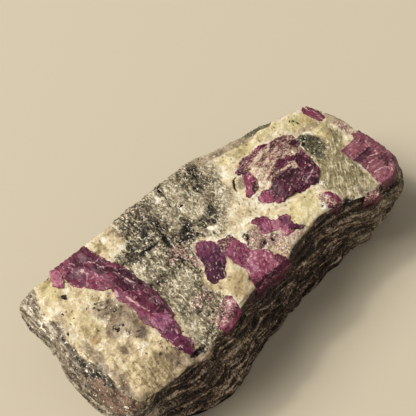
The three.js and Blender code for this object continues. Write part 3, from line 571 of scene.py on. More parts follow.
ASH = [  # translucent greyish or pinkish feldspar
    (-12.8, -11.6, 2.4, 0.7, 0.9), (-14.8, -10.5, 1.1, 0.9, 0.8), (-21.8, -11.4, 2.4, 0.9, 0.6, -10),
    (-23.6, -9.6, 1.8, 1.8, 0.8), (-25.6, -1, 0.5, 3.4, 0.4), (-16.9, 0.6, 1.8, 2.4, 1, 8),
    (-16.4, -2.8, 1.2, 1.6, 0.9), (-15.4, -8.7, 1, 0.9, 0.6), (-23.4, 3.4, 0.7, 2.6, 0.5),
    (-23, -2.2, 0.9, 2.6, 0.7), (-22.6, -6.4, 0.8, 2.2, 0.6, 8), (-18, 2.2, 1.4, 1.3, 0.9),
    (-18.2, -1.2, 1.7, 1.3), (-11.8, -8.4, 0.6, 1.4, 0.5), (-19.2, -3.6, 1.8, 0.8, 0.4, 30),
    (-14.6, 6, 0.5, 2, 0.3), (8.2, 10.7, 2.4, 0.8, 0.9, -10), (12, 10.3, 4.4, 0.9, 1, -7),
    (21.4, 4.9, 1.9, 0.5, 0.7, -10), (10.4, 8.9, 1.6, 0.5, 0.5, -10), (16.8, 9.5, 2, 0.4, 0.7, -10),
    (6.2, 11.6, 1.2, 1.4, 0.6), (7.6, -6.9, 1.6, 0.6, 0.8), (8.9, -6.6, 1, 0.6, 0.7),
    (14.6, -7, 2.4, 0.5, 0.7), (7.9, 4.6, 0.7, 0.9, 0.8, -25), (24.9, 2.6, 0.8, 2.8, 1, 10),
    (24.3, 5.4, 0.7, 1.4, 0.9, 25), (2.4, 6.2, 1.2, 0.9, 0.5), (20.8, 8.7, 2.2, 0.3, 0.6, -10),
    (14.6, -2.9, 1.2, 0.4, 0.3), (18.4, 6.2, 1.4, 0.4, 0.4, -30),
]
MAUVE = [  # the pinkish brown corner of the bevel
    (-24.9, -8.2, 1.9, 3.2, 0.9, -8), (-23.1, -10.7, 1.7, 1.3, 0.9), (-25.6, -4.6, 1.2, 2, 0.5),
]
PINK = [  # ruby dust in the rock
    (4, -2.8, 1.8, 1.4, 0.9), (3.4, -4.2, 1.6, 1.2, 0.9), (5.2, -5.6, 1.4, 1.4, 0.9),
    (5.4, -7.4, 1.2, 0.9, 0.9), (7.4, -6.6, 2, 0.8, 0.7), (2.4, -3, 0.7, 1.2, 0.7), (-5.5, 2, 1.7, 1.2, 0.7),
    (-7.3, -5.4, 1.8, 1.6, 0.6), (-6.9, -8.5, 1.8, 1.1, 0.7), (-5.4, -7.7, 0.9, 0.8, 0.7),
    (14.9, -5.2, 1.2, 1.6, 0.9), (15, -3.6, 0.9, 0.5, 0.5), (-6, 11.4, 1.4, 0.6, 0.4),
    (24.6, 1.8, 0.6, 1.6, 0.8, 8), (-0.95, -1.6, 0.4, 1.5), (-10, 0.8, 1.4, 1, 0.25),
    (-4.7, -0.6, 0.5, 1.6, 0.8, 15), (0.2, -0.9, 0.9, 0.4, 0.5), (7.6, -4.5, 1.4, 1.2, 0.35),
    (-8, -9.9, 0.9, 0.6, 0.7), (-19.3, 8.8, 0.25, 1.4, 0.5, -25), (9, 1.9, 1, 0.9, 0.5), (1, -9.4, 4.2, 0.9),
    (6.8, -8.6, 2.8, 0.7, 0.7, 5), (13, -7.8, 3, 0.5, 0.6), (19, -9, 2.4, 0.6, 0.9, -15),
    (-5.6, -10.4, 2, 0.5, 0.8, 15), (-11.9, -8.4, 0.5, 1.8, 0.35), (-3.4, -8.9, 1, 0.25, 0.6),
    (16.9, -0.4, 0.7, 1.8, 0.4, -15), (-23.2, -4.4, 0.6, 3, 0.25, 5), (-12, 1.4, 0.5, 1.4, 0.3),
    (-5.4, -4, 0.5, 1, 0.3),
]
WHITE_AND_GLINTS = [  # chalky grains, and painted glints where mica flakes on the left bevel catch the light
    (-12, 10.3, 0.45, 0.6), (-21.6, -1.9, 0.9, 0.6, 0.6), (-2.3, 10.5, 0.5, 0.6, 0.9),
    (0.4, 1.8, 0.7, 0.5, 0.9), (-17.8, -2.7, 0.7, 0.6, 0.5), (-25.9, 5.4, 0.3, 1.7, 0.9, -5),
    (-25.5, 3.4, 0.2, 0.8, 0.5), (-25.4, 8.6, 0.25, 1.6, 0.6), (-24.7, 6.6, 0.2, 1.2, 0.8, -15),
    (-2.9, 6.2, 0.2, 0.3, 0.9), (-0.5, 6.8, 0.8, 0.8, 0.6), (-25, -3.1, 0.2, 0.6, 0.8, -25),
    (16.4, -3.2, 0.6, 0.5, 0.5), (-17.6, -5.2, 1.2, 1, 0.5), (-11.3, 2.5, 0.4, 0.8, 0.6),
    (2.9, 8.1, 0.25, 0.16), (2.7, 10.2, 0.25, 0.25, 0.8), (5.5, 5.3, 0.7, 0.5, 0.6),
    (-10.8, -7.4, 0.4, 0.7, 0.5), (9.4, -6.9, 0.5, 0.3, 0.9), (20, 0.8, 1.4, 0.6, 0.3, 40),
    (-23, -11.1, 0.2, 0.3), (2.7, -3.3, 0.25, 0.25, 0.9), (-26, -6.6, 0.2, 0.15, 0.9),
    (-24.6, -10.4, 0.3, 0.4, 0.8), (-24.6, 1, 0.25, 0.7, 0.6), (6.6, 3.6, 0.6, 0.8, 0.5),
    (15.5, -2.8, 0.8, 0.3, 0.6), (-19.5, 4.6, 1.2, 0.6, 0.4, -30), (4.4, -6.6, 0.5, 0.3, 0.7),
]
FACE_MINERALS = {  # these have ragged edges and lie on the face alone
    "mica": MICA, "amber": AMBER, "cleaved": CLEAVED, "olive": OLIVE, "pale": PALE, "ash": ASH, "pink": PINK,
    "white_and_glint": WHITE_AND_GLINTS,
}
print(sum(len(ovals) for ovals in [*FACE_MINERALS.values(), SPOTS, GOLDEN, MAUVE]), "mineral patches")

# %% Ovals on a lower part of the face
LEAN = np.array([-0.324, -0.487, 0])  # how far a point seems to move over the face for each mm down
LOWEST = 5  # mm below the face, where the lean stops growing


def seen(points):
    """The ovals and zones are laid out on a level plane at the face height, as seen from the camera's side. A
    point lower down takes the place where it is seen: point + (face height - z) · lean."""
    lower = np.clip(FACE_HEIGHT - points[..., 2:], -1, LOWEST)
    return points + lower * LEAN


# %% Mineral weights at the points of the rock
def mineral_weights(points, up):
    """The weight of each mineral at each point, as a dictionary. `up` is the upward part of the outward
    direction: patches belong to the face and stop where the side turns down. The limits are millimetres."""
    level = seen(points)
    ragged = bent(level, ROCK_BENDS)
    wild = bent(ragged, WILD_BENDS)
    x, y, z = points[..., 0], points[..., 1], points[..., 2]
    facing = smooth_step(0.4, 0.75, up)
    bevel = smooth_step(-0.4, 0.5, depth_inside(wild, LEFT_BEVEL))
    # the front side: the finish paints it darker than the back, as painted shade
    front = smooth_step(3, -4, y) * smooth_step(-23, -17, x) * (1 - 0.55 * smooth_step(13, 22, x))
    # painted shade: near the front rim the dark colour of the side reaches up to the rim
    front_rim_shade = 1.7 * smooth_step(-4.5, -6.5, y) * smooth_step(-10, 0, x)
    near_top = smooth_step(11.6, 12.9, z + 0.5 * noise(points, 1.2, 31) + 2.2 * (x < -19) - front_rim_shade)
    below = 1 - near_top
    foot_not_lightened = smooth_step(-3, 2, x) * smooth_step(15, 11, x)  # the foot is not painted lighter here
    weights = {label: patches(ragged, ovals) * near_top for label, ovals in FACE_MINERALS.items()}
    return weights | {
        "mottled": smooth_step(0, -8, x + 1.5 * noise(points, 3, 46)),
        "golden": patches(wild, GOLDEN) * near_top,
        "granular": smooth_step(-1.1, 0.9, depth_inside(wild, GRANULAR_ZONE)) * near_top,
        "fibrous": smooth_step(-1, 0.8, depth_inside(wild, FIBROUS_ZONE)) * near_top,
        "spot": patches(bent(level, SPOT_BENDS), SPOTS) * near_top,
        "silver": smooth_step(-1, 3, y),
        "mauve": patches(ragged, MAUVE) * bevel,
        "front": front,
        # painted light: the sides are painted lighter towards the foot
        "foot": smooth_step(12.5, 9.5, z + noise(points, 3, 51)) * (1 - foot_not_lightened),
        "rust": smooth_step(9, 12, z) * smooth_step(-6, -3, x) * (1 - 0.6 * smooth_step(6, 9, x)),
        "bevel": bevel * smooth_step(7.5, 9.5, z + noise(points, 1.5, 36)),
        "side": np.maximum(below, (1 - facing) * np.maximum(front, smooth_step(0.1, 0.5, below))),
    }


# %% [markdown]
# ## The crystals' outlines
# Ruby grows as stubby six-sided prisms, but here the bar broke through them, so each shows a ragged outline
# and a few flat, slightly tilted faces. A crystal is one or more prisms, each with these entries:
# * `outline`, its corners, and `far`, the corner opposite the first one;
# * `spine`, the line on which its columns close, if that isn't the middle of the line between those two;
# * `root`, the height of its lower end, and `facets`, each a point on a facet, the bearing that it falls
#   towards and its slope;
# * `stands`, how much of the facets' height above the rock is left, 0.3 if not given;
# * `grain`, the bearing of its growth, and `striped`, how much that grain shows in its tone.

# %% Outlines, roots and facets
CRYSTALS = {
    "ruby_blade": [{
        "outline": [
            (-16.5, 11.75), (-18.8, 11.75), (-18.95, 10.8), (-19.1, 10), (-19.1, 9), (-18.8, 7.8),
            (-18.2, 6.8), (-17.3, 5.8), (-16.7, 4.7), (-16, 4.3), (-15.5, 3.8), (-15.5, 3.2), (-15.8, 2.5),
            (-15.7, 1.7), (-15.2, 0.5), (-15, -0.7), (-15.3, -2), (-15.1, -3.5), (-14.7, -4.2), (-14.5, -5.5),
            (-14.8, -5.8), (-14.3, -7.2), (-14.3, -8.5), (-13.8, -9.5), (-13.5, -10.2), (-12.8, -10),
            (-12.3, -9.2), (-12.2, -8.3), (-12.6, -7.2), (-12.2, -6.5), (-12.1, -5.5), (-12, -4.8),
            (-11.4, -4.2), (-11.3, -2.8), (-11.2, -0.5), (-11.3, 0.8), (-11.5, 1.8), (-11.8, 2.8),
            (-11.7, 3.8), (-12.2, 5.5), (-13.2, 7.5), (-13.7, 9.2), (-14, 10.3), (-14.2, 11.75),
        ],
        "far": 24, "grain": 98, "root": 11.2,
        "spine": [
            (-16.5, 10.2), (-16.4, 8.2), (-15, 5.6), (-13.8, 3.4), (-13.5, 0), (-13.3, -4), (-13.4, -8.6),
        ],
        "facets": [
            (-16.4, 7, 15, 190, 0.14), (-14.6, 0, 15.2, 8, 0.3), (-14.4, -1, 15.1, 178, 0.4),
            (-13.6, -5.5, 15, 272, 0.16), (-16, 10.6, 14.9, 85, 0.6),
        ],
    }],
    "ruby_back_corner": [{
        "outline": [
            (-18.8, 11.75), (-20, 11.75), (-20.5, 10.7), (-20.9, 9.9), (-20.5, 9), (-20, 8.6), (-19.5, 9.2),
            (-19.1, 10.1), (-18.85, 10.7),
        ],
        "far": 5, "grain": 75, "root": 11, "facets": [(-20, 10, 14.1, 200, 0.3), (-20, 10.8, 14.1, 80, 0.5)],
    }],
    "ruby_large": [{
        "outline": [
            (18.5, 5.1), (18.3, 5.8), (17.7, 6.3), (16.9, 6.7), (16.2, 6.9), (15.2, 6.8), (14.5, 7),
            (13.7, 7.4), (12.9, 7.4), (12, 7.2), (11.2, 7.4), (10.5, 7.5), (10.1, 6.4), (10.3, 5.2),
            (9.95, 4.3), (10, 3.2), (10.2, 1.6), (10, 0.2), (9.3, -0.7), (9.4, -1.4), (9.6, -1.6),
            (11.2, -1.55), (12.5, -1.6), (12.7, -2.2), (13.4, -2.4), (14.7, -2.2), (15.1, -2.6), (15.5, -2.8),
            (16, -2.5), (16.6, -1.7), (17.5, -0.8), (17.6, -0.1), (17.9, 1.3), (18, 2.4), (18.2, 3.8),
            (18.6, 4.1),
        ],
        "far": 20, "grain": 22, "striped": 0.25, "stands": 0.65, "root": 10,
        "spine": [(15.6, 3.6), (13.8, 2.4), (12, 1)],
        "facets": [
            (13.5, 1, 15.3, 300, 0.07), (13, 4.4, 15.2, 75, 0.26), (10.8, 2, 15.1, 182, 0.45),
            (17, 1, 15, 5, 0.8), (13, -1.6, 15.1, 268, 0.7), (16.4, 5.6, 14.8, 40, 0.5),
        ],
    }, {
        "outline": [
            (9.1, 1.6), (8.2, 1.3), (7.8, 0.9), (7.8, 0.4), (8.6, -0.5), (9.3, -0.85), (10, 0), (10.3, 0.8),
            (9.8, 1.4),
        ],
        "far": 5, "grain": 80, "root": 11.5, "facets": [(9, 0.4, 14.8, 200, 0.25)],
    }, {
        "outline": [
            (9.95, 5.5), (9.2, 5.6), (8.6, 5.3), (8.3, 4.4), (7.9, 3.6), (7.3, 3), (6.95, 2.4), (7.1, 1.9),
            (8.2, 1.9), (9.3, 2.5), (9.8, 3.3), (9.95, 4.3),
        ],
        "far": 7, "grain": 60, "root": 11.5,
        "facets": [(8.6, 3.6, 14.9, 120, 0.3), (8.6, 3.2, 14.9, 250, 0.35)],
    }, {
        "outline": [
            (10.5, 7.4), (9.7, 7.1), (9.1, 6.7), (8.2, 6.2), (8.3, 5.7), (9.1, 5.6), (9.8, 5.55),
            (10.25, 5.4), (10.2, 6.3),
        ],
        "far": 4, "grain": 60, "root": 11.5, "facets": [(9.2, 6.2, 14.7, 150, 0.3)],
    }],
    "ruby_middle": [{
        "outline": [
            (-2.2, 1.5), (-2.7, 1.55), (-3.2, 1.25), (-3.6, 0.6), (-3.95, 0.1), (-4, -0.6), (-3.9, -1.3),
            (-4.2, -2), (-4.7, -2.5), (-4.8, -3), (-5.25, -3.5), (-5.1, -4.3), (-4.6, -4.75), (-4, -4.6),
            (-3.6, -4.9), (-3.1, -5), (-2.7, -4.6), (-2.5, -4), (-2.1, -3.6), (-1.6, -3.3), (-1.35, -2.9),
            (-1.15, -2.4), (-1.05, -1.9), (-0.95, -1.2), (-0.75, -0.5), (-0.8, 0), (-1.1, 0.6), (-1.6, 1.1),
        ],
        "far": 14, "grain": 65, "stands": 0.2, "root": 10.5,
        "facets": [
            (-3.2, -1.8, 15.1, 235, 0.12), (-2.8, 0, 15, 65, 0.35), (-2, -2, 15, 340, 0.25),
            (-4.2, -2.6, 14.9, 190, 0.7),
        ],
    }, {
        "outline": [
            (0, -0.25), (-0.45, -0.2), (-0.72, -0.4), (-0.9, -1.2), (-1.03, -2.1), (-1, -2.7), (-0.8, -3.2),
            (-0.9, -4), (-0.7, -4.8), (-0.5, -5.6), (-0.3, -6.1), (-0.6, -6.7), (-0.9, -7.5), (-1.1, -8.9),
            (4.9, -8.9), (4.8, -8.2), (4.7, -7.5), (4.4, -6.9), (3.8, -6.8), (3.7, -6.3), (3.9, -5.7),
            (3.4, -5.3), (3, -4.8), (2.6, -4.5), (2, -4.2), (1.95, -3.5), (2.1, -2.9), (1.8, -2.4),
            (1.6, -1.2), (1.55, -0.6), (1.1, -0.35), (0.5, -0.4),
        ],
        "far": 14, "grain": 80, "root": 11, "spine": [(0.3, -1.4), (0.6, -4), (1.4, -6.2), (2.4, -7.8)],
        "facets": [
            (0.8, -3.4, 14.8, 290, 0.06), (1.4, -6.8, 14.6, 275, 0.3), (1.2, -2.6, 14.8, 10, 0.3),
            (3, -7, 14.5, 350, 0.25),
        ],
    }],
    "ruby_upper_cluster": [{
        "outline": [
            (5.6, -0.85), (5, -1), (4.7, -1.2), (5, -1.7), (5, -2.5), (4.8, -3.1), (5, -3.6), (5.6, -3.9),
            (6.3, -4.2), (6.8, -4.7), (6.5, -5.3), (7, -5.8), (7.9, -5.95), (8.8, -6.1), (10, -6.3),
            (9.4, -5.6), (8.9, -5.1), (8.9, -4.4), (9.3, -3.9), (9.3, -3.6), (8.8, -3.05), (8.3, -2.9),
            (7.9, -3.2), (7.4, -3), (7, -2.5), (7, -1.8), (6.7, -1.3), (6.1, -1.2),
        ],
        "far": 14, "grain": 70, "root": 11.5, "spine": [(5.9, -2.2), (6.2, -3.2), (7.2, -4.2), (8.2, -5)],
        "facets": [(5.8, -2.6, 14.8, 220, 0.2), (7.4, -4.6, 14.7, 310, 0.15), (6.2, -2, 14.8, 60, 0.4)],
    }],
    "ruby_lower_cluster": [{
        "outline": [
            (-4.9, -6.9), (-5.7, -7.3), (-6.3, -8.3), (-7.7, -9), (-8.3, -9.8), (-7.9, -10.7), (-6.2, -10.5),
            (-4.8, -9.9), (-4.4, -9), (-4.3, -7.6),
        ],
        "far": 5, "grain": 60, "root": 11.5, "spine": [(-5.1, -8), (-5.8, -9.1), (-7.2, -9.8)],
        "facets": [(-5.4, -8.4, 14.5, 300, 0.2), (-6.6, -9.3, 14.3, 200, 0.2), (-6, -9.6, 14.3, 250, 0.5)],
    }],
    "ruby_front_chip": [{
        "outline": [
            (15.3, -4.2), (14.5, -5.1), (14, -6.4), (15, -6.9), (16.3, -6.8), (16.4, -5.8), (16, -4.7),
        ],
        "far": 3, "grain": 70, "root": 11.5,
        "facets": [(15.4, -5.8, 14.6, 20, 0.4), (15, -6.2, 14.5, 240, 0.35)],
    }],
    "ruby_edge_chip": [{
        "outline": [
            (18.7, -8.6), (19.6, -9), (20.6, -9.4), (21.2, -9.1), (20.9, -8.5), (20, -8.1), (19.2, -8.2),
        ],
        "far": 3, "grain": 0, "root": 11.2, "facets": [(20, -8.6, 13.9, 250, 0.4), (20, -8.6, 13.9, 40, 0.2)],
    }],
    "ruby_end": [{
        "outline": [
            (25, 0.5), (24.6, -0.4), (23.6, -0.6), (21.7, -0.7), (21.8, -3.4), (22.2, -4.3), (22.1, -6.4),
            (22.2, -8.4), (24.6, -8.3), (25.8, -7.5), (26.9, -5.5), (26.5, -3.4), (26.3, -1.6), (25.9, 0.2),
        ],
        "far": 8, "grain": 5, "root": 11.8, "spine": [(24.8, -1), (24.2, -2.4), (24.3, -4.4), (24.3, -6.4)],
        "facets": [
            (23.6, -2.2, 14.5, 240, 0.06), (24.2, -5.4, 14.3, 320, 0.12), (25.4, -3.4, 14.3, 5, 0.5),
            (24, -7.4, 13.9, 265, 0.6), (23.8, -1.6, 14.5, 80, 0.3),
        ],
    }],
    "ruby_top_corner": [{
        "outline": [
            (23.2, 8.5), (22.6, 8.3), (22.2, 7.6), (22.7, 6.2), (23.1, 4.9), (23.6, 4.75), (23.42, 6.2),
        ],
        "far": 4, "grain": 95, "root": 11,
        "facets": [(23, 6.6, 14.3, 195, 0.3), (23, 7.4, 14.2, 80, 0.35)],
    }, {
        "outline": [(23.6, 8.4), (23.3, 7.6), (23.5, 6.2), (23.7, 4.9), (24.3, 5), (24.4, 6.2), (24.1, 7.6)],
        "far": 3, "grain": 95, "root": 10.6,
        "facets": [(23.7, 6.2, 14.1, 10, 0.5), (23.6, 7.4, 14, 70, 0.5)],
    }],
}
print(sum(len(parts) for parts in CRYSTALS.values()), "crystal prisms in", len(CRYSTALS), "pieces")

# %% [markdown]
# ## Roughening the rock and making room for the crystals
# The smooth form is pushed along its outward direction by noise: round grains on the face, long thin layers
# on the sides. Under each crystal the face drops into a pocket, steeply enough that its edge stays hidden by
# the crystal, so the stone closes tightly round it as grown rock does.


# %% Relief along the outward direction
def rock_relief(points, up, weights):
    """How far each point of the rock moves out. On the face: lumps of 3 mm, flat chips of 1.6 and 0.5 mm and
    grains, stronger where the rock is granular, and streaks along Y there. On the sides: chips 9 mm long and
    1.1 mm thick, finer ones on them, and grains. Also gives how far the point stands proud, about 0 to 1, by
    which the finish paints ridges lighter and hollows darker: painted light and shade."""
    rough = 0.5 + 0.7 * np.maximum(weights["granular"], weights["mica"]) + 0.3 * weights["mottled"]
    face = 0.14 * noise(points, 3, 51) + 0.15 * chips(points, 1.6, 52)[0]
    face += 0.09 * rough * chips(points, 0.5, 53)[0]
    face += 0.06 * rough * noise(points, 0.35, 54)
    face += 0.1 * weights["granular"] * noise(points, (0.6, 3, 3), 55)
    face -= 0.08 * weights["spot"] + 0.12 * weights["mica"]
    wall = 0.3 * chips(points, (9, 9, 1.1), 61)[0] + 0.22 * chips(points, (3.4, 3.4, 0.45), 62)[0] - 0.14
    wall += 0.1 * noise(points, 1.4, 63) + 0.12 * noise(points, (2.2, 2.2, 0.3), 64)
    blend = smooth_step(0.2, 0.6, up) * (1 - 0.7 * np.maximum(weights["side"], 0.8 * weights["bevel"]))
    under = smooth_step(-0.5, -0.9, up)
    relief = (face * blend + wall * (1 - blend)) * (1 - under) + 0.03 * noise(points, 0.8, 65) * under
    return relief, 0.5 + 1.6 * face * blend + 1.3 * wall * (1 - blend)


# %% Pockets under the crystals
RIM_HEIGHT, RIM_WIDTH = 13.6, 0.7  # the bare face is rounded down to this height over this width
POCKET_INSET, POCKET_SLOPE = 0.2, 4  # where a pocket starts inside an outline, and its slope
POCKET_FLOOR = 0.3  # height of its floor over the crystal's root
CUT_WIDTH = 0.6  # width round an outline in which the rock's bumps are cut
CUT_LEVEL = 0.04  # height above the bare face to which they are cut
LOWEST_CUT = 12.5  # nothing below this height is cut


def bare_rock_height(points):
    """The height of the rock at a point: the face height, rounded down at the rim."""
    inset = np.clip(depth_inside(points, RIM[:, :2]) / RIM_WIDTH, 0, 1)
    return RIM_HEIGHT + (face_height(points[..., 0], points[..., 1]) - RIM_HEIGHT) * rounded(inset)


def pocketed(points):
    """The rock with a pocket under each crystal: inside its outline the points go down in a steep slope, but
    not below its floor. Close round the outline the rock's own bumps are cut to the level of the face, so
    that they don't cover the crystal."""
    level = bare_rock_height(points) + CUT_LEVEL
    before = points[..., 2]
    z = before.copy()
    for part in sum(CRYSTALS.values(), []):
        depth = depth_inside(points, part["outline"])
        floor = part["root"] + POCKET_FLOOR
        cut = np.minimum(z, level + np.maximum(0, -depth))
        z = np.where((depth > -CUT_WIDTH) & (before > LOWEST_CUT), cut, z)
        drop = POCKET_SLOPE * np.maximum(0, depth - POCKET_INSET)
        sunk = np.maximum(floor, np.minimum(z, before - drop))
        z = np.where((drop > 0) & (before > floor), sunk, z)
    return np.dstack([points[..., :2], z])


# %% The finished rock grid
outward = shell_normals(form)
rock_weights = mineral_weights(form, outward[..., 2])
# the second result paints ridges lighter and hollows darker: painted light and shade
relief, rock_weights["ridge"] = rock_relief(form, outward[..., 2], rock_weights)
rock_grid = pocketed(form + outward * relief[..., None])
rock_grid[..., 2] = np.maximum(rock_grid[..., 2], 0)
print("rock lies within", rock_grid.min((0, 1)).round(2), rock_grid.max((0, 1)).round(2))

# %% [markdown]
# ## Faces of the rubies
# A broken crystal shows flat faces, each with its own tone, from near-black plum to pink: partly the ruby's
# own colour, partly painted light and shade of how the face is turned to the light. The largest are drawn
# here as outlines, so that they have straight, sharp borders. The smaller ones come from random chips.

